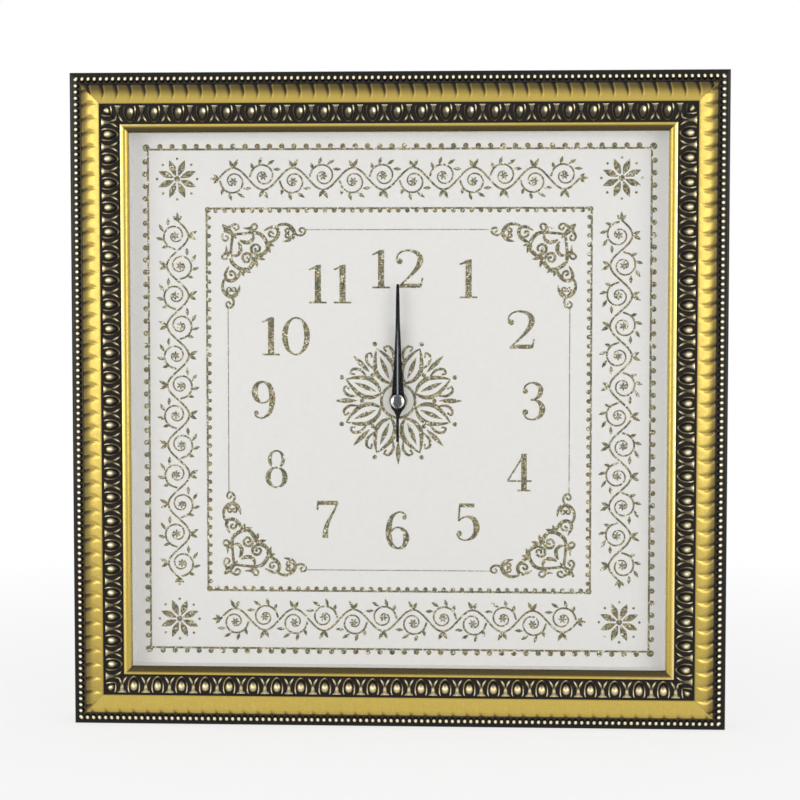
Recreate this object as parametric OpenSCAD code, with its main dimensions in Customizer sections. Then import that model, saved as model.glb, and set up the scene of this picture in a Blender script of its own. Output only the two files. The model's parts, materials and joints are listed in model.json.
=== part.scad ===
// Picture wall clock: a mitred moulding round a glazed dial, with a quartz movement behind the dial.
// Depth is measured from the wall towards the viewer, who looks along +Y, so depth d lies at Y = -d.
// The origin is the entry hole of the keyhole hanger, at the wall.
// Plan points are [x, z] from the hands' axis.

/* [Moulding] */
// Outer width and height of the frame
frame_size = 500; // [420:1:640]
// Width of the beaded strip at the outer edge
bead_strip_w = 9.5; // [8:0.1:14]
// Width of the gadrooned gold band
gold_band_w = 15; // [11:0.1:24]
// Width of the egg and dart band
egg_band_w = 13; // [10:0.1:20]
// Width of the half round fillet at the sight edge
sight_fillet_w = 6.2; // [5:0.1:10]
// Width of the quirk on each side of the egg and dart band
quirk_w = 1.15; // [0.6:0.05:2]
// Depth of the quirks
quirk_d = 0.8; // [0.4:0.1:1.5]
// Height of the crown over the back of the sight lip
crown_rise = 6.8; // [6:0.1:12]
// Fall of the gold band from the crown to the beaded strip
gold_band_fall = 5.2; // [2:0.1:8]
// Fall of the beaded strip to the outer edge
bead_strip_fall = 3.8; // [2.5:0.1:6]
// Fall of the egg and dart band from the crown to the sight fillet
egg_band_fall = 1.8; // [0.5:0.1:3]
// Rounding of the outer edge
edge_round = 2; // [1:0.1:4]
// Thickness of the lip at the sight edge
lip_t = 1.8; // [1.5:0.1:3]
// Width of the rabbet behind the sight edge
rabbet_w = 6; // [4:0.1:8]

/* [Glazing and dial] */
// Thickness of the glass
glass_t = 2; // [1.5:0.1:3]
// Space between the dial and the glass, which is the height of the spacer strips
hand_space = 13.4; // [13:0.1:20]
// Distance of the spacer strips behind the sight edge
spacer_set = 0.3; // [0.1:0.1:1]
// Thickness of the printed sheet
sheet_t = 0.4; // [0.2:0.1:1]
// Thickness of the dial board
board_t = 3; // [2:0.1:5]
// Clearance of the glass and the board in the rabbet
pane_gap = 0.5; // [0.2:0.1:1]

/* [Frame hardware] */
// Thickness of a corner nail
nail_t = 0.5; // [0.3:0.05:1]
// Length of each leg of a corner nail
nail_leg = 7; // [4:0.5:9]
// Depth to which a corner nail is driven
nail_depth = 10; // [6:0.5:14]
// Thickness of a retaining tab
tab_t = 0.6; // [0.3:0.1:1]
// Width of a retaining tab
tab_w = 9; // [5:0.5:14]
// Length of a retaining tab over the board
tab_over = 8; // [4:0.5:14]
// Length of a retaining tab in the rail
tab_in = 7; // [4:0.5:12]
// Distance between the tabs along a side
tab_pitch = 130; // [80:1:160]
// Fit of nails, tabs and the hanger in their seats
seat_gap = 0.1; // [0.05:0.05:0.2]

/* [Hanger] */
// Width of the hanger plate
hanger_w = 46; // [40:0.5:70]
// Length of the hanger plate over the top rail
hanger_lap = 22; // [16:0.5:26]
// Width of the hanger plate round its holes
hanger_edge = 6; // [4:0.5:8]
// Thickness of the hanger plate
hanger_t = 1.2; // [1:0.1:2]
// Clearance between the top rail and a nail's head in the slot
hanger_clear = 1; // [0.5:0.5:4]
// Radius of the keyhole's entry hole
entry_r = 4.5; // [3.5:0.1:5]
// Width of the keyhole's slot
slot_w = 4.4; // [3:0.1:5]
// Length of the slot above the entry hole's centre
slot_len = 8; // [7:0.5:9]
// Radius of a hanger screw's shank
screw_r = 1.6; // [1:0.1:2]
// Radius of a hanger screw's head
screw_head_r = 3.2; // [2.6:0.1:3.5]
// Length of a hanger screw
screw_len = 13; // [8:0.5:18]

/* [Movement case] */
// Gap between the wall and the movement
case_standoff = 2.2; // [2:0.1:5]
// Wall of the movement's case
case_wall = 1.5; // [1.2:0.1:2.5]
// Chamfer of the case's corners
case_chamfer = 2; // [1:0.1:3]
// Thickness of the gasket between the case and the dial board
gasket_t = 1; // [0.5:0.1:2]
// Radius of the gasket
gasket_r = 9; // [7:0.5:14]
// Radius of the threaded bushing
bushing_r = 3.9; // [3.7:0.1:5]
// Thickness of the washer
washer_t = 0.6; // [0.4:0.1:1.2]
// Radius of the washer
washer_r = 7.2; // [6.5:0.1:12]
// Thickness of the nut
nut_t = 2.2; // [1.5:0.1:3]
// Radius of the nut across its corners
nut_r = 6.4; // [6:0.1:8]

/* [Cell and drive] */
// Diameter of the dry cell
cell_d = 14.5; // [13.5:0.1:15]
// Length of the dry cell with its nub
cell_len = 50.5; // [49:0.1:52]
// Clearance round the dry cell
cell_gap = 0.2; // [0.1:0.05:0.5]
// Room for a contact at each end of the cell
contact_room = 1.2; // [1:0.1:2]
// Thickness of the contact strips
contact_t = 0.4; // [0.2:0.05:0.6]
// Radius of the coil's flanges
coil_r = 2.6; // [2.3:0.1:4]
// Radius of the rotor's magnet
magnet_r = 2.4; // [1.8:0.1:3]
// Thickness of the stator and the coil's core
stator_t = 0.8; // [0.5:0.1:1]
// Thickness of the circuit board
circuit_t = 0.8; // [0.5:0.1:1.2]

/* [Wheel train] */
// Thickness of the wheels
gear_t = 1; // [0.8:0.05:1.3]
// Gap between the levels of the train
level_gap = 0.7; // [0.6:0.05:1]
// Distance between the hands' axis and the third wheel
going_distance = 11.25; // [11.2:0.05:12.5]
// Distance between the hands' axis and the step wheel
step_distance = 11.2; // [11.1:0.05:12]
// Distance between the step wheel and the rotor
rotor_distance = 9; // [8.8:0.05:10]
// Distance between the hands' axis and the motion wheel
motion_distance = 11.4; // [11.3:0.05:12]
// Radius of the wheels' arbors
arbor_r = 0.5; // [0.4:0.05:0.6]
// Depth of the pivots in the case
pivot_d = 0.8; // [0.5:0.1:0.9]
// Running clearance of arbors, pipes and the setting shaft
run_gap = 0.05; // [0.03:0.01:0.08]
// Radius of the seconds spindle
spindle_r = 0.6; // [0.5:0.05:0.7]
// Wall of the minute and hour pipes
pipe_wall = 0.9; // [0.7:0.05:1]
// Radius of the setting shaft
setting_shaft_r = 1.5; // [1.2:0.1:2]
// Radius of the setting knob
setting_knob_r = 6; // [4.5:0.1:7]
// Thickness of the setting knob
setting_knob_t = 1.4; // [1:0.1:1.6]

/* [Hands] */
// Length of the hour hand from the axis
hour_len = 58; // [40:1:75]
// Width of the hour hand at the hub
hour_w = 9.4; // [6:0.1:11]
// Width of the hour hand at the tip
hour_tip_w = 3.2; // [1:0.1:5]
// Length of the hour hand's tail
hour_tail = 14; // [9:0.5:20]
// Length of the minute hand's tail
minute_tail = 9; // [6:0.5:16]
// Width of the hour and minute hands' tails at their ends
tail_tip_w = 2.2; // [1:0.1:4]
// Length of the minute hand from the axis
minute_len = 89.5; // [60:0.5:110]
// Width of the minute hand at the hub
minute_w = 4.6; // [3:0.1:6]
// Width of the minute hand at the tip
minute_tip_w = 2.8; // [1:0.1:4]
// Length of the second hand from the axis
second_len = 85; // [60:0.5:110]
// Width of the second hand
second_w = 1.3; // [0.8:0.1:2]
// Length of the second hand's tail
second_tail = 31; // [15:0.5:45]
// Width of the second hand's tail
second_tail_w = 2.2; // [1:0.1:4]
// Radius of the second hand's cap
cap_r = 5.3; // [4:0.1:7]
// Thickness of the hands
hand_t = 0.6; // [0.4:0.05:0.8]
// Distance between the hands along the axis
hand_pitch = 2.4; // [2.2:0.1:3]

/* [Hidden] */
$fn = 64;
epsilon = 0.01;
// Length by which a cut runs past the surface that it opens
overcut = 1;

// Finishes
gilt = "#b08d3c";
black_gloss = "#15140f";
steel = "#b9bcc0";
brass = "#c8a552";
white_foam = "#ebe7da";
case_plastic = "#1d1d1f";
gear_plastic = "#e6e1d0";

// Tooth counts: rotor to seconds 30:1, seconds to minutes 60:1, minutes to hours 12:1
rotor_teeth = 12;
step_wheel_teeth = 60;
step_pinion_teeth = 10;
seconds_wheel_teeth = 60;
seconds_pinion_teeth = 10;
third_wheel_teeth = 80;
third_pinion_teeth = 10;
centre_teeth = 75;
cannon_teeth = 12;
motion_wheel_teeth = 36;
motion_pinion_teeth = 12;
hour_teeth = 48;
setting_teeth = 14;

// Tooth form: shares of the module, and of the pitch that a tooth fills
pressure_angle = 25;
addendum = 0.8;
dedendum = 1.05;
tooth_share = 0.42;

// Modules that follow from the distances between the axes
going_module = 2 * going_distance / (seconds_pinion_teeth + third_wheel_teeth);
centre_module = 2 * going_distance / (third_pinion_teeth + centre_teeth);
step_module = 2 * step_distance / (step_pinion_teeth + seconds_wheel_teeth);
rotor_module = 2 * rotor_distance / (rotor_teeth + step_wheel_teeth);
cannon_module = 2 * motion_distance / (cannon_teeth + motion_wheel_teeth);
hour_module = 2 * motion_distance / (motion_pinion_teeth + hour_teeth);
setting_distance = cannon_module * (motion_wheel_teeth + setting_teeth) / 2;

// Directions from one axis to the next, anticlockwise from the viewer's right
third_angle = 188;
step_angle = 110;
rotor_angle = 170;
motion_angle = 30;
setting_angle = 30;
third_at = polar(going_distance, third_angle);
step_at = polar(step_distance, step_angle);
rotor_at = step_at + polar(rotor_distance, rotor_angle);
motion_at = polar(motion_distance, motion_angle);
setting_at = motion_at + polar(setting_distance, setting_angle);

// Plan of the case: the train above, the cell in its bay below, the coil along the top
train_gap = 0.5;
cell_r = cell_d / 2;
inner_half_w = cell_len / 2 + contact_room;
train_floor = third_at.y - tip_r(third_wheel_teeth, going_module) - train_gap;
bay_top = train_floor - case_wall;
cell_z = bay_top - cell_gap - cell_r;
bay_floor = cell_z - cell_r - cell_gap;
stator_gap = 0.5;
stator_wall = 1.5;
stator_r = magnet_r + stator_gap + stator_wall;
coil_gap = 0.6;
coil_z = rotor_at.y + stator_r + coil_gap + coil_r;
case_ceiling = coil_z + coil_r + coil_gap + contact_t;

// Depths of the movement, from the wall
levels = 7;
train_depth = levels * (gear_t + level_gap) + level_gap;
case_back = case_standoff;
back_in = case_back + case_wall;
front_in = case_back + max(cell_d + cell_gap, case_wall + train_depth);
case_front = front_in + case_wall;
case_split = (case_back + case_front) / 2;
cell_depth = front_in - cell_gap - cell_r;
bay_lip = 0.6;
bay_half_open = sqrt(cell_r * cell_r - pow(cell_depth - back_in, 2)) + bay_lip;
hour_level = 0;
cannon_level = 1;
centre_level = 2;
third_level = 3;
stator_level = 4;
seconds_level = 5;
step_level = 6;
stator_d = level_back(stator_level);
core_d = stator_d + stator_t;
circuit_d = stator_d;
knob_gap = 0.3;

// Depths of the dial and the glazing
board_back = case_front + gasket_t;
sheet_back = board_back + board_t;
dial_face = sheet_back + sheet_t;
glass_back = dial_face + hand_space;
lip_back = glass_back + glass_t;

// Plan of the moulding: distances across the rail from the outer edge
gold_u = bead_strip_w;
crown_u = gold_u + gold_band_w;
egg_u = crown_u + quirk_w;
inner_quirk_u = egg_u + egg_band_w;
fillet_u = inner_quirk_u + quirk_w;
moulding_w = fillet_u + sight_fillet_w;
sight_half = frame_size / 2 - moulding_w;
rabbet_half = sight_half + rabbet_w;
pane_half = rabbet_half - pane_gap;
spacer_t = pane_half - sight_half - spacer_set;

// Heights of the moulding
crown_d = lip_back + crown_rise;
gold_d = crown_d - gold_band_fall;
edge_d = gold_d - bead_strip_fall;
egg_inner_d = crown_d - egg_band_fall;
fillet_drop = 1.4;
fillet_d = egg_inner_d - fillet_drop;
gold_bow = 1;
egg_bow = 1.2;
fillet_bow = 1.4;
bead_seat_bow = -0.6;
edge_bow = 0.7;
rail_profile = concat(
    [[0, 0]],
    bow([0, edge_d - edge_round], [edge_round, edge_d], edge_bow, 4),
    bow([edge_round + quirk_w, edge_d], [gold_u - quirk_w, gold_d - quirk_d], bead_seat_bow, 4),
    bow([gold_u, gold_d], [crown_u, crown_d], gold_bow, 8),
    [[crown_u, crown_d - quirk_d], [egg_u, crown_d - quirk_d]],
    bow([egg_u, crown_d - quirk_d / 2], [inner_quirk_u, egg_inner_d - quirk_d / 2], egg_bow, 6),
    [[inner_quirk_u, fillet_d - quirk_d], [fillet_u, fillet_d - quirk_d]],
    bow([fillet_u, fillet_d], [moulding_w, lip_back + lip_t], fillet_bow, 6),
    [[moulding_w, lip_back], [moulding_w - rabbet_w, lip_back], [moulding_w - rabbet_w, 0]]
);

// Depths of the hands along the axis
washer_d = dial_face;
nut_d = washer_d + washer_t;
bushing_proud = 0.5;
bushing_end = nut_d + nut_t + bushing_proud;
collet_drop = 1;
collet_gap = 0.4;
hour_d = bushing_end + collet_gap + collet_drop;
minute_d = hour_d + hand_pitch;
second_d = minute_d + hand_pitch;
pipe_end = 0.4;
hand_fit = 0.03;
collet_wall = 0.9;
hour_hub_r = 6;
minute_hub_r = 4.6;
second_hub_r = 3;
tail_root_share = 0.9;
second_t = 0.4;
cap_rim = 0.7;
cap_rise = 1.5;

// Radii of the coaxial pipes on the hands' axis
minute_bore_r = spindle_r + run_gap;
minute_pipe_r = minute_bore_r + pipe_wall;
hour_bore_r = minute_pipe_r + run_gap;
hour_pipe_r = hour_bore_r + pipe_wall;
bushing_bore_r = hour_pipe_r + run_gap;
bushing_flange_w = 1.6;
bushing_flange_r = bushing_r + bushing_flange_w;
bushing_flange_t = 0.8;
bushing_play = 0.3;
bushing_hole_r = bushing_r + bushing_play;
journal_step = 0.4;
journal_r = minute_pipe_r + journal_step;
clutch_collar_w = 0.9;
clutch_collar_r = journal_r + clutch_collar_w;

// Frame hardware
hang_drop = rabbet_half - hanger_clear - entry_r - slot_len;
hanger_low = hang_drop - entry_r - hanger_edge;
hanger_top = rabbet_half + hanger_lap;
screw_at = [hanger_w / 2 - hanger_edge - screw_head_r, rabbet_half + hanger_lap / 2];
screw_slot = 0.6;
nail_us = moulding_w * [0.22, 0.58];
nail_sink = 0.2;

function polar(r, a) = r * [cos(a), sin(a)];
function level_back(k) = front_in - (k + 1) * (gear_t + level_gap);
function tip_r(z, m) = m * (z / 2 + addendum);
// Points of a curve from a to b that bows sideways by the given amount
function bow(a, b, sag, n) =
    let (d = b - a, side = [-d.y, d.x] / norm(d))
    [for (i = [0:n]) let (t = i / n) a + d * t + side * sag * 4 * t * (1 - t)];
function involute(a) = tan(a) * 180 / PI - a;
// Half of the angle that a tooth takes at radius q
function tooth_angle(z, r, q) =
    let (base = r * cos(pressure_angle))
    180 * tooth_share / z + involute(pressure_angle) - involute(acos(min(1, base / max(q, base))));
function flank_radii(root, base, pitch, tip) =
    root < base ? [root, base, pitch, tip] : [root, pitch, tip];
function gear_points(z, m) =
    let (r = m * z / 2)
    let (radii = flank_radii(r - dedendum * m, r * cos(pressure_angle), r, r + addendum * m))
    let (last = len(radii) - 1)
    [for (i = [0:z - 1]) each concat(
        [for (k = [0:last]) polar(radii[k], i * 360 / z - tooth_angle(z, r, radii[k]))],
        [for (k = [last:-1:0]) polar(radii[k], i * 360 / z + tooth_angle(z, r, radii[k]))]
    )];
// Angle that turns gear b so that its teeth sit between those of gear a, as b lies from a at angle phi
function mesh_phase(phi, za, phase_a, zb) =
    phi + 180 - 360 / zb * ((phase_a - phi) * za / 360 + 0.5);

// Placing
module from_hanger() { translate([0, 0, -hang_drop]) children(); }
module at_side(k) { rotate([0, 90 * k, 0]) children(); }
module at(p) { translate([p.x, 0, p.y]) children(); }
module slab(d0, d1) { translate([0, -d0, 0]) rotate([90, 0, 0]) linear_extrude(d1 - d0) children(); }
module rod(d0, d1, r, r_end = undef) {
    translate([0, -d0, 0])
        rotate([90, 0, 0]) cylinder(h = d1 - d0, r1 = r, r2 = is_undef(r_end) ? r : r_end);
}
module ring(d0, d1, r, bore) {
    difference() {
        rod(d0, d1, r);
        rod(d0 - overcut, d1 + overcut, bore);
    }
}
// A round bar along X at plan height z and depth d
module bar(x0, x1, z, d, r) { translate([x0, -d, z]) rotate([0, 90, 0]) cylinder(h = x1 - x0, r = r); }
module gear(z, m, level, phase = 0) {
    slab(level_back(level), level_back(level) + gear_t) rotate(phase) polygon(gear_points(z, m));
}
module arbor() { rod(back_in - pivot_d, front_in + pivot_d, arbor_r); }

// Moulding rails
module rail_blank() {
    half = frame_size / 2;
    intersection() {
        translate([0, 0, half])
            rotate(a = 180, v = [1, 0, -1])
                linear_extrude(frame_size, center = true) polygon(rail_profile);
        slab(-overcut, crown_d + overcut)
            polygon([[-half, half], [half, half], [sight_half, sight_half], [-sight_half, sight_half]]);
    }
}
module corner_nail_pair(grow, d0) {
    t = nail_t / 2 + grow;
    leg = nail_leg + grow;
    for (u = nail_us)
        slab(d0, nail_depth + grow)
            translate([u - frame_size / 2, frame_size / 2 - u])
                polygon([[-t, t], [leg, t], [leg, -t], [t, -t], [t, -leg], [-t, -leg]]);
}
module tab_row(grow) {
    w = tab_w + 2 * grow;
    for (i = [-1:1])
        slab(board_back - tab_t - grow, board_back + grow)
            translate([i * tab_pitch - w / 2, rabbet_half - tab_over])
                square([w, tab_over + tab_in + grow]);
}
module hanger_outline(grow) {
    translate([-hanger_w / 2 - grow, hanger_low - grow])
        square([hanger_w + 2 * grow, hanger_top - hanger_low + 2 * grow]);
}
module at_screws() {
    for (side = [-1, 1]) at([side * screw_at.x, screw_at.y]) children();
}
module hanger_seat() {
    slab(-overcut, hanger_t) hanger_outline(seat_gap);
    at_screws() rod(-overcut, screw_len + overcut, screw_r + seat_gap);
}
module rail(k) {
    color(gilt) from_hanger() at_side(k) difference() {
        rail_blank();
        corner_nail_pair(seat_gap, -overcut);
        at_side(1) corner_nail_pair(seat_gap, -overcut);
        tab_row(seat_gap);
        if (k == 0) hanger_seat();
    }
}
module frame_rail_top() { rail(0); }
module frame_rail_right() { rail(1); }
module frame_rail_bottom() { rail(2); }
module frame_rail_left() { rail(3); }

// Frame hardware
module corner_nails() {
    color(steel) from_hanger() for (k = [0:3]) at_side(k) corner_nail_pair(0, nail_sink);
}
module retaining_tabs() {
    color(steel) from_hanger() for (k = [0:3]) at_side(k) tab_row(0);
}
// A countersunk head, or with grow its seat, whose cone runs on past the plate's back
module screw_head(grow) {
    flare = (screw_head_r - screw_r) / hanger_t;
    rod(-grow, hanger_t, screw_head_r + grow * (1 + flare), screw_r + grow);
}
module hanger_plate() {
    color(steel) from_hanger() difference() {
        slab(0, hanger_t) hanger_outline(0);
        at([0, hang_drop]) rod(-overcut, hanger_t + overcut, entry_r);
        at([0, hang_drop + slot_len]) rod(-overcut, hanger_t + overcut, slot_w / 2);
        at([-slot_w / 2, hang_drop]) slab(-overcut, hanger_t + overcut) square([slot_w, slot_len]);
        at_screws() {
            screw_head(seat_gap);
            rod(-overcut, hanger_t + overcut, screw_r + seat_gap);
        }
    }
}
module hanger_screws() {
    color(steel) from_hanger() at_screws() difference() {
        union() {
            screw_head(0);
            rod(hanger_t / 2, screw_len, screw_r);
        }
        slab(-overcut, screw_slot) square([2 * screw_head_r + overcut, screw_slot], center = true);
    }
}

// Glass, spacers and dial
module front_glass() {
    color("#dfe9ec", 0.3) from_hanger() slab(glass_back, lip_back) square(2 * pane_half, center = true);
}
module spacer(k, length) {
    color(white_foam) from_hanger() at_side(k)
        slab(dial_face, glass_back)
            translate([-length / 2, pane_half - spacer_t]) square([length, spacer_t]);
}
module spacer_top() { spacer(0, 2 * pane_half); }
module spacer_right() { spacer(1, 2 * (pane_half - spacer_t)); }
module spacer_bottom() { spacer(2, 2 * pane_half); }
module spacer_left() { spacer(3, 2 * (pane_half - spacer_t)); }
module pierced_panel(d0, d1) {
    difference() {
        slab(d0, d1) square(2 * pane_half, center = true);
        rod(d0 - overcut, d1 + overcut, bushing_hole_r);
    }
}
module dial_sheet() { color("#e8e7e3") from_hanger() pierced_panel(sheet_back, dial_face); }
module dial_board() { color("#7a5536") from_hanger() pierced_panel(board_back, sheet_back); }

// Movement case
module case_plan() {
    x = inner_half_w + case_wall;
    z0 = bay_floor - case_wall;
    z1 = case_ceiling + case_wall;
    c = case_chamfer;
    polygon([
        [-x + c, z0], [x - c, z0], [x, z0 + c], [x, z1 - c],
        [x - c, z1], [-x + c, z1], [-x, z1 - c], [-x, z0 + c]
    ]);
}
module train_room(d0, d1) {
    slab(d0, d1)
        translate([-inner_half_w, train_floor]) square([2 * inner_half_w, case_ceiling - train_floor]);
}
module cell_room(d0, d1) {
    slab(d0, d1) translate([-inner_half_w, bay_floor]) square([2 * inner_half_w, bay_top - bay_floor]);
}
// Passage of the contact strips through the wall between the cell and the train
module strip_notches() {
    w = contact_t + seat_gap;
    for (x = [-inner_half_w, inner_half_w - w])
        slab(strip_d0 - seat_gap, strip_d1 + seat_gap)
            translate([x, bay_top - overcut]) square([w, train_floor - bay_top + 2 * overcut]);
}
module back_pivots() {
    for (p = [third_at, step_at, rotor_at, motion_at])
        at(p) rod(back_in - pivot_d - seat_gap, back_in + overcut, arbor_r + run_gap);
    rod(back_in - pivot_d - seat_gap, back_in + overcut, spindle_r + run_gap);
}
module front_pivots() {
    for (p = [third_at, step_at, rotor_at, motion_at, setting_at])
        at(p) rod(front_in - overcut, front_in + pivot_d + seat_gap, arbor_r + run_gap);
}
module movement_front_case() {
    color(case_plastic) from_hanger() difference() {
        slab(case_split, case_front) case_plan();
        train_room(case_split - overcut, front_in);
        cell_room(case_split - overcut, front_in);
        strip_notches();
        front_pivots();
        rod(front_in - overcut, front_in + bushing_flange_t, bushing_flange_r + hand_fit);
        rod(front_in, case_front + overcut, bushing_r + hand_fit);
    }
}
module movement_back_case() {
    color(case_plastic) from_hanger() {
        difference() {
            slab(case_back, case_split) case_plan();
            train_room(back_in, case_split + overcut);
            cell_room(back_in, case_split + overcut);
            strip_notches();
            slab(case_back - overcut, back_in + overcut)
                translate([-inner_half_w, cell_z - bay_half_open])
                    square([2 * inner_half_w, 2 * bay_half_open]);
            back_pivots();
            at(setting_at) rod(case_back - overcut, back_in + overcut, setting_shaft_r + run_gap);
        }
        for (p = [core_left, core_right]) at(p) {
            rod(back_in - epsilon, stator_d, peg_r);
            rod(back_in, core_d + stator_t + peg_proud, peg_pin_r);
        }
        at(circuit_peg) rod(back_in - epsilon, circuit_d, peg_r);
    }
}
module threaded_bushing() {
    color(brass) from_hanger() difference() {
        union() {
            rod(front_in, front_in + bushing_flange_t, bushing_flange_r);
            rod(front_in, bushing_end, bushing_r);
        }
        rod(front_in - overcut, bushing_end + overcut, bushing_bore_r);
    }
}
module bushing_gasket() {
    color("#26262a") from_hanger() ring(case_front, board_back, gasket_r, bushing_hole_r);
}
module bushing_washer() {
    color(brass) from_hanger() ring(washer_d, nut_d, washer_r, bushing_hole_r);
}
module bushing_nut() {
    color(brass) from_hanger() difference() {
        slab(nut_d, nut_d + nut_t) circle(r = nut_r, $fn = 6);
        rod(nut_d - overcut, nut_d + nut_t + overcut, bushing_r + hand_fit);
    }
}

// Drive: stator, coil and circuit
peg_r = 1.4;
peg_pin_r = 0.7;
peg_proud = 0.4;
core_w = 3;
core_len = 27;
arm_half = 1.7;
arm_set = 0.6;
core_left = [rotor_at.x - stator_r - arm_half + arm_set, coil_z];
core_right = [core_left.x + core_len, coil_z];
coil_set = 2.2;
coil_x0 = core_left.x + coil_set;
coil_x1 = core_right.x - coil_set;
coil_flange_t = 0.8;
coil_tube_wall = 0.3;
coil_tube_r = core_w / 2 + coil_tube_wall;
winding_set = 0.2;
winding_r = coil_r - winding_set;
circuit_gap = 0.8;
circuit_x0 = core_right.x + arm_half + circuit_gap;
circuit_z0 = setting_at.y + tip_r(setting_teeth, cannon_module) + coil_gap;
circuit_x1 = inner_half_w - contact_t;
circuit_z1 = case_ceiling - contact_t;
circuit_peg = [circuit_x0 + peg_r, circuit_z1 - peg_r];
strip_over = 1;
strip_d0 = circuit_d - strip_over;
strip_d1 = circuit_d + circuit_t + strip_over;
// Holes of the stator or the core for the two pegs of the case
module peg_holes(d0, d1) {
    for (p = [core_left, core_right]) at(p) rod(d0 - overcut, d1 + overcut, peg_pin_r + run_gap);
}
module stator() {
    arm_z = rotor_at.y - arm_set / 2;
    color("#8d8f93") from_hanger() difference() {
        slab(stator_d, core_d) union() {
            translate(rotor_at) circle(r = stator_r);
            for (p = [core_left, core_right])
                translate([p.x - arm_half, arm_z]) square([2 * arm_half, coil_z + arm_half - arm_z]);
            translate([rotor_at.x, arm_z])
                square([core_right.x + arm_half - rotor_at.x, 2 * arm_half]);
        }
        at(rotor_at) rod(stator_d - overcut, core_d + overcut, magnet_r + stator_gap);
        peg_holes(stator_d, core_d);
    }
}
module coil_core() {
    color("#8d8f93") from_hanger() difference() {
        slab(core_d, core_d + stator_t)
            translate([core_left.x - arm_half, coil_z - core_w / 2])
                square([core_len + 2 * arm_half, core_w]);
        peg_holes(core_d, core_d + stator_t);
    }
}
module coil_bobbin() {
    axis_d = core_d + stator_t / 2;
    color("#d9d4c2") from_hanger() difference() {
        union() {
            bar(coil_x0, coil_x1, coil_z, axis_d, coil_tube_r);
            bar(coil_x0, coil_x0 + coil_flange_t, coil_z, axis_d, coil_r);
            bar(coil_x1 - coil_flange_t, coil_x1, coil_z, axis_d, coil_r);
        }
        slab(core_d - run_gap, core_d + stator_t + run_gap)
            translate([coil_x0 - overcut, coil_z - core_w / 2 - run_gap])
                square([coil_x1 - coil_x0 + 2 * overcut, core_w + 2 * run_gap]);
    }
}
module coil_winding() {
    axis_d = core_d + stator_t / 2;
    end_set = coil_flange_t + run_gap;
    color("#a8612e") from_hanger() difference() {
        bar(coil_x0 + end_set, coil_x1 - end_set, coil_z, axis_d, winding_r);
        bar(coil_x0, coil_x1, coil_z, axis_d, coil_tube_r + run_gap);
    }
}
module circuit_board() {
    color("#1f5b36") from_hanger()
        slab(circuit_d, circuit_d + circuit_t)
            translate([circuit_x0, circuit_z0])
                square([circuit_x1 - circuit_x0, circuit_z1 - circuit_z0]);
}
crystal_r = 1;
crystal_len = 6;
crystal_set = [1, 0.4];
chip_r = 1.8;
chip_top_r = 1.45;
chip_t = 0.9;
chip_set = [1.5, 0.3];
module quartz_crystal() {
    crystal_x = circuit_x1 - crystal_len - crystal_set.x;
    crystal_z = circuit_z0 + crystal_r + crystal_set.y;
    color(steel) from_hanger()
        bar(crystal_x, crystal_x + crystal_len, crystal_z, circuit_d - crystal_r - run_gap, crystal_r);
}
module circuit_chip() {
    color("#101010") from_hanger()
        at([circuit_x1, circuit_z1] - [chip_r, chip_r] - chip_set)
            rod(circuit_d - chip_t, circuit_d, chip_top_r, chip_r);
}

// Cell and its contacts
contact_half = 4;
dimple_r = 2;
bridge_over = 4;
// A contact plate on the case's side wall, its dimple towards the cell and its strip up the wall
module contact_plate(top_z) {
    x0 = inner_half_w - contact_t;
    slab(cell_depth - contact_half, cell_depth + contact_half)
        translate([x0, cell_z - contact_half]) square([contact_t, 2 * contact_half]);
    slab(strip_d0, strip_d1) translate([x0, cell_z]) square([contact_t, top_z - cell_z]);
    bar(cell_len / 2 + seat_gap, inner_half_w - contact_t / 2, cell_z, cell_depth, dimple_r);
}
module positive_contact() { color(steel) from_hanger() contact_plate(circuit_z1 - seat_gap); }
module negative_contact() {
    color(steel) from_hanger() {
        mirror([1, 0, 0]) contact_plate(case_ceiling);
        slab(strip_d0, strip_d1)
            translate([-inner_half_w, case_ceiling - contact_t])
                square([inner_half_w + circuit_x0 + bridge_over, contact_t]);
    }
}
nub_r = 2.75;
nub_len = 1.2;
module dry_cell() {
    color("#2f6f4f") from_hanger() union() {
        bar(-cell_len / 2, cell_len / 2 - nub_len, cell_z, cell_depth, cell_r);
        bar(0, cell_len / 2, cell_z, cell_depth, nub_r);
    }
}

// Second train
magnet_t = 2;
module rotor_magnet() {
    mid = stator_d + stator_t / 2;
    color("#55565a") from_hanger() at(rotor_at)
        ring(mid - magnet_t / 2, mid + magnet_t / 2, magnet_r, arbor_r + hand_fit);
}
module rotor_pinion() {
    color(gear_plastic) from_hanger() at(rotor_at) {
        gear(rotor_teeth, rotor_module, step_level,
            mesh_phase(rotor_angle, step_wheel_teeth, 0, rotor_teeth));
        arbor();
    }
}
module step_wheel() {
    phase = mesh_phase(step_angle, seconds_wheel_teeth, 0, step_pinion_teeth);
    color(gear_plastic) from_hanger() at(step_at) {
        gear(step_wheel_teeth, rotor_module, step_level);
        gear(step_pinion_teeth, step_module, seconds_level, phase);
        arbor();
    }
}
module seconds_wheel() {
    color(gear_plastic) from_hanger() {
        gear(seconds_wheel_teeth, step_module, seconds_level);
        gear(seconds_pinion_teeth, going_module, third_level);
        rod(back_in - pivot_d, second_d + hand_t, spindle_r);
    }
}
module third_wheel() {
    color(gear_plastic) from_hanger() at(third_at) {
        gear(third_wheel_teeth, going_module, third_level,
            mesh_phase(third_angle, seconds_pinion_teeth, 0, third_wheel_teeth));
        gear(third_pinion_teeth, centre_module, centre_level,
            mesh_phase(third_angle, centre_teeth, 0, third_pinion_teeth));
        arbor();
    }
}
module centre_wheel() {
    color(gear_plastic) from_hanger() difference() {
        gear(centre_teeth, centre_module, centre_level);
        rod(0, front_in, journal_r + run_gap);
    }
}

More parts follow.
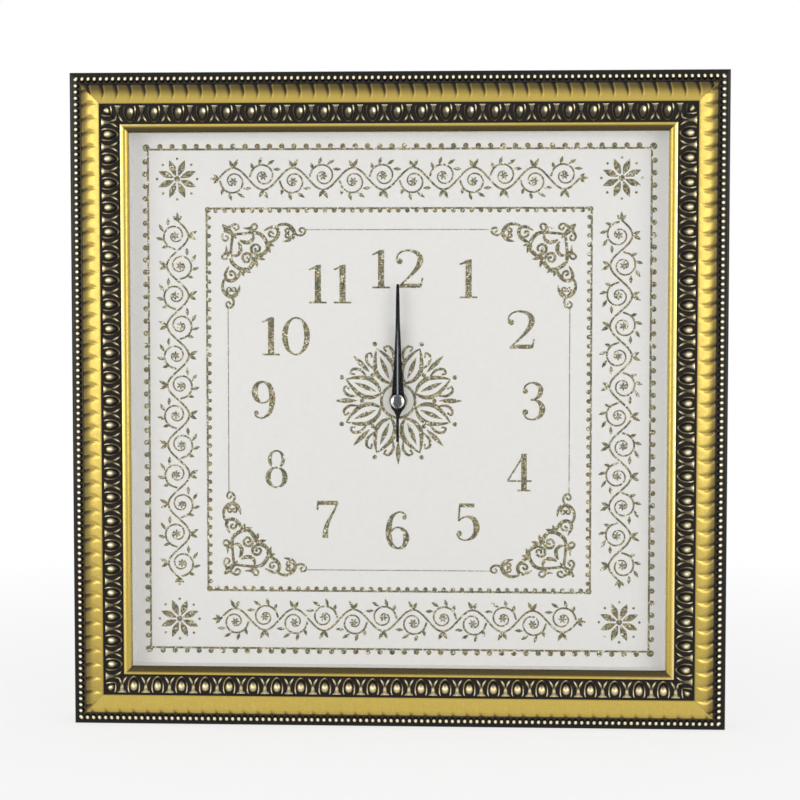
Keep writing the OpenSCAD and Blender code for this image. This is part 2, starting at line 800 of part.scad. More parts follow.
// Minute train, with the clutch that lets it turn against the centre wheel
clutch_gap = 0.1;
clutch_t = 0.4;
journal_d = level_back(centre_level) - clutch_gap - clutch_t;
module clutch_washer() {
    color(steel) from_hanger()
        ring(journal_d, journal_d + clutch_t, clutch_collar_r, journal_r + hand_fit);
}
module minute_pipe() {
    color(gear_plastic) from_hanger() difference() {
        union() {
            gear(cannon_teeth, cannon_module, cannon_level);
            rod(journal_d, level_back(cannon_level) + gear_t, journal_r);
            rod(level_back(centre_level) + gear_t + clutch_gap, level_back(cannon_level),
                clutch_collar_r);
            rod(journal_d, minute_d + hand_t + pipe_end, minute_pipe_r);
        }
        rod(journal_d - overcut, minute_d + hand_t + overcut, minute_bore_r);
    }
}
motion_phase = mesh_phase(motion_angle, cannon_teeth, 0, motion_wheel_teeth);
module motion_wheel() {
    color(gear_plastic) from_hanger() at(motion_at) {
        gear(motion_wheel_teeth, cannon_module, cannon_level, motion_phase);
        gear(motion_pinion_teeth, hour_module, hour_level,
            mesh_phase(motion_angle, hour_teeth, 0, motion_pinion_teeth));
        arbor();
    }
}
module hour_wheel() {
    color(gear_plastic) from_hanger() difference() {
        union() {
            gear(hour_teeth, hour_module, hour_level);
            rod(level_back(hour_level), hour_d + hand_t + pipe_end, hour_pipe_r);
        }
        rod(level_back(hour_level) - overcut, hour_d + hand_t + overcut, hour_bore_r);
    }
}
knob_ribs = 24;
knob_rib_h = 0.3;
module setting_knob() {
    knob_d = case_back - knob_gap - setting_knob_t;
    rim = [
        for (i = [0:2 * knob_ribs - 1])
            polar(setting_knob_r - (i % 2) * knob_rib_h, i * 180 / knob_ribs)
    ];
    color(case_plastic) from_hanger() at(setting_at) {
        slab(knob_d, knob_d + setting_knob_t) polygon(rim);
        rod(knob_d, level_back(cannon_level) + gear_t, setting_shaft_r);
        rod(knob_d, front_in + pivot_d, arbor_r);
        gear(setting_teeth, cannon_module, cannon_level,
            mesh_phase(setting_angle, motion_wheel_teeth, motion_phase, setting_teeth));
    }
}

// Hands, all at twelve
module hand(d, hub_r, bore_r, length, w, tip_w, tail) {
    root = hub_r * tail_root_share;
    difference() {
        union() {
            slab(d, d + hand_t) union() {
                circle(r = hub_r);
                polygon([[-w / 2, 0], [w / 2, 0], [tip_w / 2, length], [-tip_w / 2, length]]);
                polygon([[-root, 0], [-tail_tip_w / 2, -tail], [tail_tip_w / 2, -tail], [root, 0]]);
            }
            rod(d - collet_drop, d + hand_t, bore_r + collet_wall);
        }
        rod(d - collet_drop - overcut, d + hand_t + overcut, bore_r);
    }
}
module hour_hand() {
    color(black_gloss) from_hanger()
        hand(hour_d, hour_hub_r, hour_pipe_r + hand_fit, hour_len, hour_w, hour_tip_w, hour_tail);
}
module minute_hand() {
    color(black_gloss) from_hanger()
        hand(minute_d, minute_hub_r, minute_pipe_r + hand_fit, minute_len, minute_w, minute_tip_w,
            minute_tail);
}
module second_hand() {
    bore_r = spindle_r + hand_fit;
    color(black_gloss) from_hanger() difference() {
        union() {
            slab(second_d, second_d + second_t) union() {
                circle(r = second_hub_r);
                translate([-second_w / 2, 0]) square([second_w, second_len]);
                translate([-second_tail_w / 2, -second_tail]) square([second_tail_w, second_tail]);
            }
            rod(second_d - collet_drop, second_d + second_t, bore_r + collet_wall);
        }
        rod(second_d - collet_drop - overcut, second_d + overcut, bore_r);
    }
}
module second_hand_cap() {
    dome_r = (cap_r * cap_r + cap_rise * cap_rise) / (2 * cap_rise);
    cap_d = second_d + second_t;
    crown = cap_d + cap_rim + cap_rise;
    color("#d8dade") from_hanger() difference() {
        intersection() {
            translate([0, dome_r - crown, 0]) sphere(r = dome_r);
            rod(cap_d, crown + overcut, cap_r);
        }
        rod(cap_d - overcut, second_d + hand_t + seat_gap, spindle_r + hand_fit);
    }
}

frame_rail_top();
frame_rail_right();
frame_rail_bottom();
frame_rail_left();
corner_nails();
front_glass();
spacer_top();
spacer_right();
spacer_bottom();
spacer_left();
dial_sheet();
dial_board();
retaining_tabs();
hanger_plate();
hanger_screws();
movement_front_case();
movement_back_case();
threaded_bushing();
bushing_gasket();
bushing_washer();
bushing_nut();
stator();
coil_core();
coil_bobbin();
coil_winding();
circuit_board();
quartz_crystal();
circuit_chip();
positive_contact();
negative_contact();
dry_cell();
rotor_magnet();
rotor_pinion();
step_wheel();
seconds_wheel();
third_wheel();
centre_wheel();
clutch_washer();
minute_pipe();
motion_wheel();
hour_wheel();
setting_knob();
hour_hand();
minute_hand();
second_hand();
second_hand_cap();
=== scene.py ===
"""Looks of a gilded picture wall clock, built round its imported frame."""

import json
import math

import bmesh
import bpy
from bpy.props import FloatProperty, FloatVectorProperty, PointerProperty
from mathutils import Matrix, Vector


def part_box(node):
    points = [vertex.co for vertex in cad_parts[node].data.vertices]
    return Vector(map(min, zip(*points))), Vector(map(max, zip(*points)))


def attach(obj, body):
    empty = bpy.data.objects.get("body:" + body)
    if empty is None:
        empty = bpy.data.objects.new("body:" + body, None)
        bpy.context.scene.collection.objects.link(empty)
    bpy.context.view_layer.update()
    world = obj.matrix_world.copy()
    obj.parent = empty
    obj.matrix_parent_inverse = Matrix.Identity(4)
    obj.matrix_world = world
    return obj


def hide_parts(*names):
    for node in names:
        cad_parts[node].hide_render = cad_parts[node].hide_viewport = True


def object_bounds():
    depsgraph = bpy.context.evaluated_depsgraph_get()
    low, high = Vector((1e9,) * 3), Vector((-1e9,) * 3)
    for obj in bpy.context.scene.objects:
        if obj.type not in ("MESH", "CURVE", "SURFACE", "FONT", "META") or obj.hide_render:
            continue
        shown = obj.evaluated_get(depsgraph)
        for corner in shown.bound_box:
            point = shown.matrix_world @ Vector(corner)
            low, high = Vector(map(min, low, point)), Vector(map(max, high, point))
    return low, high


bl_info = {
    "name": "Picture wall clock",
    "version": (1, 0, 0),
    "blender": (4, 5, 0),
    "location": "View3D > Sidebar > Wall clock",
    "description": "Dresses the packed frame of a gilded wall clock with a printed dial",
    "category": "Object",
}

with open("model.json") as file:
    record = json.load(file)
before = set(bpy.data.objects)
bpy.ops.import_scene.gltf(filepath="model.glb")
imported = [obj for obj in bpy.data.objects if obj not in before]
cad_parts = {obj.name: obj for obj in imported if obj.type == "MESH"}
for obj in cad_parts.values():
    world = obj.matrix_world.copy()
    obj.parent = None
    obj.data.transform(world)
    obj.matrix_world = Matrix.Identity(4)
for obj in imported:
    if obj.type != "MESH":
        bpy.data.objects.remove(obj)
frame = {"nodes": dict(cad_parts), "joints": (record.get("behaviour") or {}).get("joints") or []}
CAD_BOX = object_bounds()
NODES = frame["nodes"]
JOINTS = {joint["name"]: joint for joint in frame["joints"]}

CASE = "frame_and_case"
MM = 0.001
AXIS_Z = JOINTS["second_turn"]["pos_m"][2]
HALF = (CAD_BOX[1].x - CAD_BOX[0].x) / 2 / MM
DIAL_D = -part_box("dial_sheet")[0].y / MM

# The rail's section: u runs in from the outer edge, d out from the wall, in millimetres.
BACK_D = 0.25
EDGE_ROUND = ((0.0, 34.0), (2.0, 36.0), 0.7)
BEAD_SEAT = ((3.15, 36.0), (8.35, 39.0), -0.6)
GOLD_BAND = ((9.5, 39.8), (24.5, 45.0), 1.0)
QUIRK_D = 44.2
EGG_GROUND = ((25.65, 43.3), (38.65, 41.6), 0.0)
INNER_QUIRK_D = 41.0
FILLET = ((39.8, 41.8), (46.0, 40.0), 1.4)
LIP_D = 38.2
RABBET_U = 40.0
# The rail's materials: the gold band, the carved beads and eggs, the back.
GILT, WORN, WOOD = 0, 1, 2
SIDES = ("top", "right", "bottom", "left")
# For each side, painted shade: how dark the carving is painted, more on the gold band, and on the
# fillet's inner half; the top rail is painted as in shade, the bottom as lit.
SIDE_SHADE = {
    "top": (1.0, 0.0, 0.80), "right": (0.4, 0.12, 0.28),
    "bottom": (0.0, 0.0, 0.80), "left": (0.4, 0.12, 0.28)}


def metres(label, says, default):
    """A length that the panel shows."""
    return FloatProperty(name=label, description=says, default=default, unit="LENGTH")


def swatch(label, says, default):
    """A colour that the panel shows."""
    return FloatVectorProperty(
        name=label, description=says, default=default, subtype="COLOR", size=3, min=0.0, max=1.0)


class MouldingSettings(bpy.types.PropertyGroup):
    """Sizes and colours of the carved frame moulding."""

    lobe_pitch: metres("Lobe pitch", "Distance between the grooves of the gold band", 0.0107)
    groove_depth: metres("Groove depth", "Deepest cut between two lobes", 0.0018)
    bead_pitch: metres("Bead pitch", "Distance between beads of the outer string", 0.0047)
    bead_diameter: metres("Bead diameter", "Width of one bead", 0.0040)
    egg_pitch: metres("Egg pitch", "Distance between eggs of the inner band", 0.0184)
    egg_length: metres("Egg length", "Length of an egg across the band", 0.0098)
    egg_width: metres("Egg width", "Width of an egg along the band", 0.0063)
    # The pale gold is the colour of painted highlights, the bright gold of rubbed edges and painted
    # highlights; the bronzes and the glaze colour also paint shade.
    gold: swatch("Gold", "Colour of the rubbed gilding", (0.64, 0.475, 0.108))
    pale_gold: swatch(
        "Pale gold", "Colour of the highest points, worn nearly white", (0.95, 0.92, 0.80))
    bright_gold: swatch("Bright gold", "Colour of the most rubbed edges", (0.92, 0.84, 0.56))
    bronze: swatch("Bronze", "Colour of the half covered gilding", (0.15, 0.108, 0.030))
    worn_gold: swatch(
        "Worn gold", "Colour of the gilding on beads, eggs and darts", (0.60, 0.50, 0.27))
    worn_bronze: swatch(
        "Worn bronze", "Colour of the half covered gilding there", (0.145, 0.12, 0.072))
    patina: swatch("Patina", "Colour of the dark glaze in the hollows", (0.010, 0.008, 0.006))


class PrintSettings(bpy.types.PropertyGroup):
    """Sizes and colours of the dial's printed ornament."""

    outer_border: metres("Outer border", "Half width of the outer border line", 0.1924)
    inner_border: metres("Inner border", "Half width of the inner border line", 0.1473)
    thin_square: metres("Thin square", "Half width of the line between the corners", 0.1310)
    numeral_height: metres("Numeral height", "Height of a numeral", 0.0292)
    rosette_radius: metres("Rosette radius", "Reach of the centre rosette", 0.0480)
    flake: metres("Flake", "Width of one glitter flake", 0.0010)
    paper: swatch("Paper", "Colour of the dial sheet", (0.82, 0.808, 0.785))
    glitter_dark: swatch("Dark glitter", "Colour of the shaded flakes", (0.125, 0.125, 0.082))
    glitter_gold: swatch("Gold glitter", "Colour of the lit flakes", (0.40, 0.345, 0.175))


class FinishSettings(bpy.types.PropertyGroup):
    """Colours of the hands, the movement and the back."""

    hand_black: swatch("Hand black", "Colour of the enamelled hands", (0.006, 0.006, 0.007))
    case_black: swatch("Case black", "Colour of the movement case", (0.022, 0.022, 0.024))
    hardboard: swatch("Hardboard", "Colour of the dial board's back", (0.26, 0.145, 0.065))
    wood: swatch("Bare wood", "Colour of the rails' unfinished back", (0.56, 0.38, 0.21))


class StageSettings(bpy.types.PropertyGroup):
    """Camera, lamps and floor."""

    azimuth: FloatProperty(
        name="Azimuth", description="Camera's angle to the right of the dial's front",
        default=math.radians(2.97), subtype="ANGLE")
    elevation: FloatProperty(
        name="Elevation", description="Camera's angle above the hands' axis",
        default=math.radians(3.19), subtype="ANGLE")
    distance: metres("Distance", "Camera's distance from the middle of the dial", 1.530)
    lens: FloatProperty(
        name="Lens", description="Focal length in millimetres on a 36 mm sensor",
        default=89.7)
    lamp_power: FloatProperty(
        name="Lamp power", description="Power of each of the two soft lamps",
        default=11.0, subtype="POWER")
    sky: FloatProperty(
        name="Sky", description="Strength of the even light from all round",
        default=0.62)


class Shape:
    """Mesh of one piece in millimetres: x across, z up from the hands' axis, d off the wall."""

    def __init__(self):
        self.points = []
        self.tones = []
        self.faces = []
        self.slots = []

    def point(self, x, z, d, tone=0.0):
        self.points.append((x * MM, -d * MM, z * MM + AXIS_Z))
        self.tones.append(tone)
        return len(self.points) - 1

    def face(self, corners, slot=0):
        self.faces.append(tuple(corners))
        self.slots.append(slot)

    def skin(self, rows, slot=0, closed=False):
        """Quads between neighbouring rows of points."""
        for lower, upper in zip(rows, rows[1:]):
            count = len(lower)
            for i in range(count if closed else count - 1):
                j = (i + 1) % count
                self.face((lower[i], lower[j], upper[j], upper[i]), slot)

    def lathe(self, profile, sides):
        """Surface round the hands' axis through (radius, d) points; its rings."""
        rings = [[self.point(*at, d) for at in circle(radius, sides)] for radius, d in profile]
        self.skin(rings, closed=True)
        return rings

    def build(self, name, materials, body, slot, stands_for=(), solid=True):
        """The finished object, riding on a body; the faces of a solid one are turned outwards."""
        mesh = bpy.data.meshes.new(name)
        mesh.from_pydata(self.points, [], self.faces)
        for material in materials:
            mesh.materials.append(material)
        mesh.polygons.foreach_set("material_index", self.slots)
        # Per-point tone: glaze in the hollows, painted shade and painted highlights.
        mesh.attributes.new("patina", "FLOAT", "POINT").data.foreach_set("value", self.tones)
        work = bmesh.new()
        work.from_mesh(mesh)
        bmesh.ops.remove_doubles(work, verts=work.verts, dist=1e-6)
        if solid:
            bmesh.ops.recalc_face_normals(work, faces=work.faces)
        work.to_mesh(mesh)
        work.free()
        mesh.polygons.foreach_set("use_smooth", [True] * len(mesh.polygons))
        mesh.set_sharp_from_angle(angle=math.radians(38))
        piece = bpy.data.objects.new(name, mesh)
        bpy.context.scene.collection.objects.link(piece)
        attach(piece, body)
        if stands_for:
            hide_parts(*stands_for)
        return piece


def lerp(a, b, t):
    return a + (b - a) * t


def ease(low, high, value):
    """Smooth step from 0 at low to 1 at high."""
    t = max(0.0, min(1.0, (value - low) / (high - low)))
    return t * t * (3 - 2 * t)


def bowed(chord, steps):
    """Points along a chord that bulges by its sag towards the front."""
    (u0, d0), (u1, d1), sag = chord
    length = math.hypot(u1 - u0, d1 - d0)
    across, out = -(d1 - d0) / length, (u1 - u0) / length
    points = []
    for i in range(steps + 1):
        t = i / steps
        rise = sag * 4 * t * (1 - t)
        points.append((lerp(u0, u1, t) + across * rise, lerp(d0, d1, t) + out * rise))
    return points


def curve(knots, steps):
    """A smooth run through knots, whatever numbers each one holds."""
    ends = [knots[0], *knots, knots[-1]]
    run = []
    for a, b, c, e in zip(ends, ends[1:], ends[2:], ends[3:]):
        for i in range(steps):
            t = i / steps
            run.append(tuple(
                0.5 * (2 * q + (r - p) * t + (2 * p - 5 * q + 4 * r - w) * t * t
                       + (3 * q - p - 3 * r + w) * t ** 3)
                for p, q, r, w in zip(a, b, c, e)))
    run.append(tuple(knots[-1]))
    return run


def heading(path, i):
    """Unit direction of a path at one of its points."""
    before, after = path[max(i - 1, 0)], path[min(i + 1, len(path) - 1)]
    dx, dz = after[0] - before[0], after[1] - before[1]
    length = math.hypot(dx, dz) or 1.0
    return dx / length, dz / length


def polar(radius, angle, x=0.0, z=0.0):
    """A point at a distance and an angle from another."""
    return x + radius * math.cos(angle), z + radius * math.sin(angle)


def circle(radius, sides, x=0.0, z=0.0):
    return [polar(radius, i / sides * math.tau, x, z) for i in range(sides)]


def turned(x, z, quarter):
    """A point of the dial's plan turned clockwise by quarters."""
    for _ in range(quarter % 4):
        x, z = z, -x
    return x, z


# Node helpers and the effects that several materials share.


class Graph:
    """Places and joins shader nodes in one node tree."""

    def __init__(self, tree):
        self.tree = tree

    def add(self, kind, feeds=None, **settings):
        node = self.tree.nodes.new("ShaderNode" + kind)
        for key, value in settings.items():
            setattr(node, key, value)
        for key, value in (feeds or {}).items():
            self.feed(node.inputs[key], value)
        return node

    def feed(self, socket, value):
        if isinstance(value, bpy.types.NodeSocket):
            self.tree.links.new(value, socket)
        else:
            socket.default_value = value

    def math(self, operation, a, b=0.0):
        return self.add("Math", {0: a, 1: b}, operation=operation).outputs[0]

    def largest(self, value, *others):
        for other in others:
            value = self.math("MAXIMUM", value, other)
        return value

    def spread(self, value, low, high, start=0.0, end=1.0):
        """A value between start and end, spread from low to high."""
        node = self.add("MapRange", {
            "Value": value, "From Min": start, "From Max": end, "To Min": low, "To Max": high})
        return node.outputs["Result"]

    def mapped(self, vector, scale=(1.0, 1.0, 1.0), shift=(0.0, 0.0, 0.0)):
        node = self.add("Mapping", {"Vector": vector, "Location": shift, "Scale": scale})
        return node.outputs["Vector"]

    def split(self, vector):
        return self.add("SeparateXYZ", {"Vector": vector}).outputs

    def seen(self):
        """1 on rays that show a thing straight, in a mirror or through glass."""
        ray = self.add("LightPath").outputs
        return self.largest(
            ray["Is Camera Ray"], ray["Is Glossy Ray"], ray["Is Transmission Ray"])

    def blend(self, factor, a, b):
        node = self.add("Mix", data_type="RGBA")
        for socket, value in ((node.inputs[0], factor), (node.inputs[6], a), (node.inputs[7], b)):
            self.feed(socket, value)
        return node.outputs[2]

    def ramp(self, factor, stops):
        node = self.add("ValToRGB", {"Fac": factor})
        band = node.color_ramp
        while len(band.elements) < len(stops):
            band.elements.new(0.5)
        for element, (position, tint) in zip(band.elements, stops):
            element.position = position
            element.color = (*tint[:3], 1.0)
        return node.outputs["Color"]

    def bump(self, height, strength, distance):
        node = self.add("Bump", {"Height": height, "Strength": strength, "Distance": distance})
        return node.outputs["Normal"]


def new_group(name, inputs, outputs):
    """An empty node group with its sockets, and its inside ends."""
    tree = bpy.data.node_groups.new(name, "ShaderNodeTree")
    for way, sockets in (("INPUT", inputs), ("OUTPUT", outputs)):
        for label, kind in sockets:
            tree.interface.new_socket(label, in_out=way, socket_type="NodeSocket" + kind)
    start = tree.nodes.new("NodeGroupInput")
    end = tree.nodes.new("NodeGroupOutput")
    return tree, Graph(tree), start.outputs, end.inputs


def grain_group():
    """Uneven surface at two scales, as a value and as a roughness between two limits."""
    tree = bpy.data.node_groups.get("surface_grain")
    if tree:
        return tree
    tree, graph, given, wanted = new_group(
        "surface_grain",
        (("Vector", "Vector"), ("Scale", "Float"), ("Smooth", "Float"), ("Rough", "Float")),
        (("Value", "Float"), ("Roughness", "Float")))
    coarse = graph.add("TexNoise", {
        "Vector": given["Vector"], "Scale": given["Scale"], "Detail": 4.0})
    fine_scale = graph.math("MULTIPLY", given["Scale"], 7.3)
    fine = graph.add("TexNoise", {"Vector": given["Vector"], "Scale": fine_scale, "Detail": 2.0})
    mixed = graph.math(
        "ADD", graph.math("MULTIPLY", coarse.outputs["Fac"], 0.6),
        graph.math("MULTIPLY", fine.outputs["Fac"], 0.4))
    for name, low, high in (
            ("Value", 0.0, 1.0), ("Roughness", given["Smooth"], given["Rough"])):
        graph.feed(wanted[name], graph.spread(mixed, low, high, 0.3, 0.7))
    return tree


def flake_group():
    """Cells that each take their own two shades, for glitter and for zinc spangle."""
    tree = bpy.data.node_groups.get("flakes")
    if tree:
        return tree
    tree, graph, given, wanted = new_group(
        "flakes", (("Vector", "Vector"), ("Scale", "Float")),
        (("Shade", "Float"), ("Second", "Float")))
    cells = graph.add("TexVoronoi", {"Vector": given["Vector"], "Scale": given["Scale"]})
    parts = graph.add("SeparateColor", {"Color": cells.outputs["Color"]})
    graph.feed(wanted["Shade"], parts.outputs[0])
    graph.feed(wanted["Second"], parts.outputs[1])
    return tree


class Finish:
    """One material with a Principled surface, and its coordinates in the clock's frame."""

    def __init__(self, name):
        self.material = bpy.data.materials.new(name)
        self.material.use_nodes = True
        tree = self.material.node_tree
        tree.nodes.clear()
        self.graph = Graph(tree)
        self.surface = self.graph.add("BsdfPrincipled")
        self.output = self.graph.add("OutputMaterial", {"Surface": self.surface.outputs["BSDF"]})
        self.place = self.graph.add("TexCoord").outputs["Object"]

    def set(self, **values):
        """Sockets of the surface by name, with underscores for spaces."""
        for key, value in values.items():
            socket = self.surface.inputs[key.replace("_", " ")]
            self.graph.feed(socket, value)

    def group(self, tree, **values):
        node = self.graph.tree.nodes.new("ShaderNodeGroup")
        node.node_tree = tree
        for key, value in values.items():
            self.graph.feed(node.inputs[key], value)
        return node.outputs

    def grain(self, scale, smooth, rough, place=None):
        """The shared uneven surface, at a scale and between two roughnesses."""
        return self.group(
            grain_group(), Vector=self.place if place is None else place,
            Scale=scale, Smooth=smooth, Rough=rough)

    def cover(self, share, shader):
        """Another shader over the surface, by a share."""
        both = self.graph.add("MixShader", {
            0: share, 1: self.surface.outputs["BSDF"], 2: shader.outputs[0]})
        self.graph.feed(self.output.inputs["Surface"], both.outputs["Shader"])


def shade(tint, factor):
    """A colour made darker or lighter, with full alpha."""
    return (*(min(1.0, value * factor) for value in tint), 1.0)


def grained(name, tint, shades, grain, bump, stretch=(1.0, 1.0, 1.0), metallic=0.0):
    """A plain surface whose colour, gloss and height all follow one fine grain."""
    finish = Finish(name)
    uneven = finish.grain(*grain, finish.graph.mapped(finish.place, stretch))
    finish.set(
        Base_Color=finish.graph.blend(
            uneven["Value"], *(shade(tint, factor) for factor in shades)),
        Metallic=metallic, Roughness=uneven["Roughness"],
        Normal=finish.graph.bump(uneven["Value"], *bump))
    return finish.material


def moulded(name, tint, smooth, rough, scale=900.0, depth=0.00004, variation=0.25):
    """Moulded plastic, rubber or resin."""
    return grained(
        name, tint, (1 - variation, 1 + variation), (scale, smooth, rough), (0.35, depth))


def metal(name, tint, smooth, rough, stretch=(1.0, 1.0, 1.0)):
    """Plain or brushed metal."""
    return grained(
        name, tint, (0.88, 1.12), (400.0, smooth, rough), (0.2, 0.00002), stretch, 1.0)


def dial_paper(settings):
    """Uncoated white sheet with faint fibres."""
    return grained(
        "dial_paper", settings.paper, (0.97, 1.02), (320.0, 0.5, 0.68), (0.15, 0.00003))


def gilding(name, gold, bronze, settings):
    """Gilding under a dark glaze that stays in the hollows, with a gloss lacquer; the same tone
    also paints shade and highlights on it.
    """
    finish = Finish(name)
    graph = finish.graph
    patina = graph.add("Attribute", attribute_name="patina").outputs["Fac"]
    grain = finish.grain(260.0, 0.20, 0.34)
    broken = graph.math(
        "ADD", patina, graph.math("MULTIPLY", graph.math("SUBTRACT", grain["Value"], 0.5), 0.05))
    cover = graph.add("Clamp", {"Value": broken}).outputs["Result"]
    between = tuple(lerp(a, b, 0.5) for a, b in zip(gold, bronze))
    finish.set(
        Base_Color=graph.ramp(cover, (
            (0.01, settings.pale_gold), (0.07, settings.bright_gold), (0.15, gold),
            (0.36, between), (0.62, bronze), (0.95, settings.patina))),
        Metallic=graph.spread(cover, 1.0, 0.45),
        Roughness=grain["Roughness"],
        Specular_IOR_Level=0.3,
        Coat_Weight=0.08,
        Coat_Roughness=0.08,
        Normal=graph.bump(grain["Value"], 0.25, 0.00008))
    return finish.material


def bare_wood(settings):
    """Planed softwood with its grain along each rail."""
    finish = Finish("bare_wood")
    graph = finish.graph
    x, y, z = graph.split(graph.mapped(finish.place, shift=(0.0, 0.0, -AXIS_Z)))
    upright = graph.math(
        "GREATER_THAN", graph.math("ABSOLUTE", x), graph.math("ABSOLUTE", z))
    lying = graph.add("CombineXYZ", {"X": x, "Y": y, "Z": z}).outputs["Vector"]
    standing = graph.add("CombineXYZ", {"X": z, "Y": y, "Z": x}).outputs["Vector"]
    choice = graph.add("Mix", data_type="VECTOR")
    for socket, value in ((0, upright), (4, lying), (5, standing)):
        graph.feed(choice.inputs[socket], value)
    place = choice.outputs[1]
    rings = graph.add("TexNoise", {
        "Vector": graph.mapped(place, (6.0, 160.0, 160.0)),
        "Scale": 2.2, "Detail": 6.0, "Distortion": 0.8})
    fine = finish.grain(1.0, 0.6, 0.8, graph.mapped(place, (50.0, 2400.0, 2400.0)))
    tint = graph.ramp(rings.outputs["Fac"], [
        (stop, shade(settings.wood, factor))
        for stop, factor in ((0.32, 0.62), (0.5, 1.0), (0.68, 1.25))])
    finish.set(
        Base_Color=graph.blend(
            graph.math("MULTIPLY", fine["Value"], 0.35), tint, shade(settings.wood, 0.55)),
        Roughness=fine["Roughness"],
        Normal=graph.bump(fine["Value"], 0.4, 0.0001))
    return finish.material


def pane(name):
    """Clear picture glass with a trace of smudging; lamps shine straight through it."""
    finish = Finish(name)
    graph = finish.graph
    grain = finish.grain(14.0, 0.0, 0.02)
    finish.set(
        Base_Color=(0.985, 0.995, 0.988, 1.0), Roughness=grain["Roughness"],
        Transmission_Weight=1.0, IOR=1.45)
    ray = graph.add("LightPath").outputs
    leaving = graph.add("NewGeometry").outputs["Backfacing"]
    straight = graph.math("MULTIPLY", ray["Is Camera Ray"], graph.largest(leaving, 0.85))
    finish.cover(
        graph.largest(straight, ray["Is Shadow Ray"], ray["Is Diffuse Ray"]),
        graph.add("BsdfTransparent"))
    return finish.material


def glitter(settings):
    """Printed glue strewn with flakes that each catch the light their own way."""
    finish = Finish("glitter_print")
    graph = finish.graph
    cells = finish.group(flake_group(), Vector=finish.place, Scale=1.0 / settings.flake)
    drift = finish.grain(180.0, 0.0, 1.0)
    dark, gold = tuple(settings.glitter_dark), tuple(settings.glitter_gold)
    shine = graph.math(
        "ADD", graph.math("MULTIPLY", cells["Shade"], 0.75),
        graph.math("MULTIPLY", graph.math("SUBTRACT", drift["Value"], 0.25), 0.5))
    tint = graph.ramp(shine, (
        (0.0, shade(dark, 0.5)), (0.40, dark),
        (0.58, tuple(lerp(a, b, 0.6) for a, b in zip(dark, gold))),
        (0.74, gold), (0.84, (0.68, 0.63, 0.42)), (0.94, (0.93, 0.92, 0.85))))
    stray = graph.math("GREATER_THAN", cells["Second"], 0.95)
    finish.set(
        Base_Color=graph.blend(stray, tint, (0.20, 0.09, 0.05, 1.0)),
        Metallic=0.35,
        Roughness=graph.spread(cells["Second"], 0.22, 0.5),
        Normal=graph.bump(cells["Shade"], 0.6, 0.0002))
    return finish.material


def zinc(name):
    """Zinc plated steel with its spangle."""
    finish = Finish(name)
    graph = finish.graph
    cells = finish.group(flake_group(), Vector=finish.place, Scale=260.0)
    grain = finish.grain(500.0, 0.28, 0.45)
    finish.set(
        Base_Color=graph.blend(cells["Shade"], (0.46, 0.47, 0.48, 1.0), (0.66, 0.67, 0.68, 1.0)),
        Metallic=1.0,
        Roughness=grain["Roughness"],
        Normal=graph.bump(grain["Value"], 0.15, 0.00003))
    return finish.material


def pressed_board(settings):
    """Hardboard with the mesh print of its press on the back."""
    finish = Finish("pressed_board")
    graph = finish.graph
    base = settings.hardboard
    fibre = finish.grain(380.0, 0.62, 0.85)
    waves = [
        graph.add("TexWave", {"Vector": finish.place, "Scale": 160.0}, bands_direction=way)
        for way in ("X", "Z")]
    mesh_print = graph.math("MULTIPLY", waves[0].outputs["Fac"], waves[1].outputs["Fac"])
    tint = graph.blend(fibre["Value"], shade(base, 0.6), shade(base, 1.35))
    finish.set(
        Base_Color=graph.blend(graph.math("MULTIPLY", mesh_print, 0.25), tint, shade(base, 0.5)),
        Roughness=fibre["Roughness"],
        Normal=graph.bump(mesh_print, 0.5, 0.0002))
    return finish.material


def winding(name):
    """Enamelled copper wire in close turns along the coil."""
    finish = Finish(name)
    graph = finish.graph
    turns = graph.add("TexWave", {"Vector": finish.place, "Scale": 900.0}, bands_direction="X")
    grain = finish.grain(700.0, 0.25, 0.4)
    finish.set(
        Base_Color=graph.blend(
            turns.outputs["Fac"], (0.25, 0.07, 0.03, 1.0), (0.75, 0.33, 0.17, 1.0)),
        Metallic=1.0,
        Roughness=grain["Roughness"],
        Normal=graph.bump(turns.outputs["Fac"], 0.6, 0.0001))
    return finish.material


def laminate(name):
    """Green circuit laminate with tracks under its mask."""
    finish = Finish(name)
    graph = finish.graph
    tracks = graph.add("TexBrick", {
        "Vector": graph.mapped(finish.place, (420.0, 420.0, 420.0)),
        "Color1": (0.02, 0.11, 0.05, 1.0), "Color2": (0.015, 0.08, 0.04, 1.0),
        "Mortar": (0.06, 0.22, 0.10, 1.0), "Mortar Size": 0.06})
    grain = finish.grain(600.0, 0.3, 0.45)
    finish.set(
        Base_Color=tracks.outputs["Color"], Roughness=grain["Roughness"],
        Normal=graph.bump(tracks.outputs["Fac"], 0.3, 0.00005))
    return finish.material


def cell_sleeve(name):
    """Printed sleeve of a dry cell: dark body, copper shoulder, bare ends."""
    low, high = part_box("dry_cell")
    finish = Finish(name)
    graph = finish.graph
    share = graph.spread(graph.split(finish.place)["X"], 0.0, 1.0, low.x, high.x)
    bare, body, band = (0.62, 0.62, 0.60), (0.02, 0.028, 0.035), (0.62, 0.28, 0.12)
    tint = graph.ramp(share, (
        (0.0, bare), (0.025, body), (0.70, body), (0.71, band), (0.955, band), (0.965, bare)))
    tint.node.color_ramp.interpolation = "CONSTANT"
    grain = finish.grain(350.0, 0.18, 0.3)
    finish.set(
        Base_Color=graph.blend(
            graph.math("MULTIPLY", grain["Value"], 0.15), tint, (0.2, 0.2, 0.2, 1.0)),
        Metallic=0.6, Roughness=grain["Roughness"],
        Normal=graph.bump(grain["Value"], 0.1, 0.00002))
    return finish.material


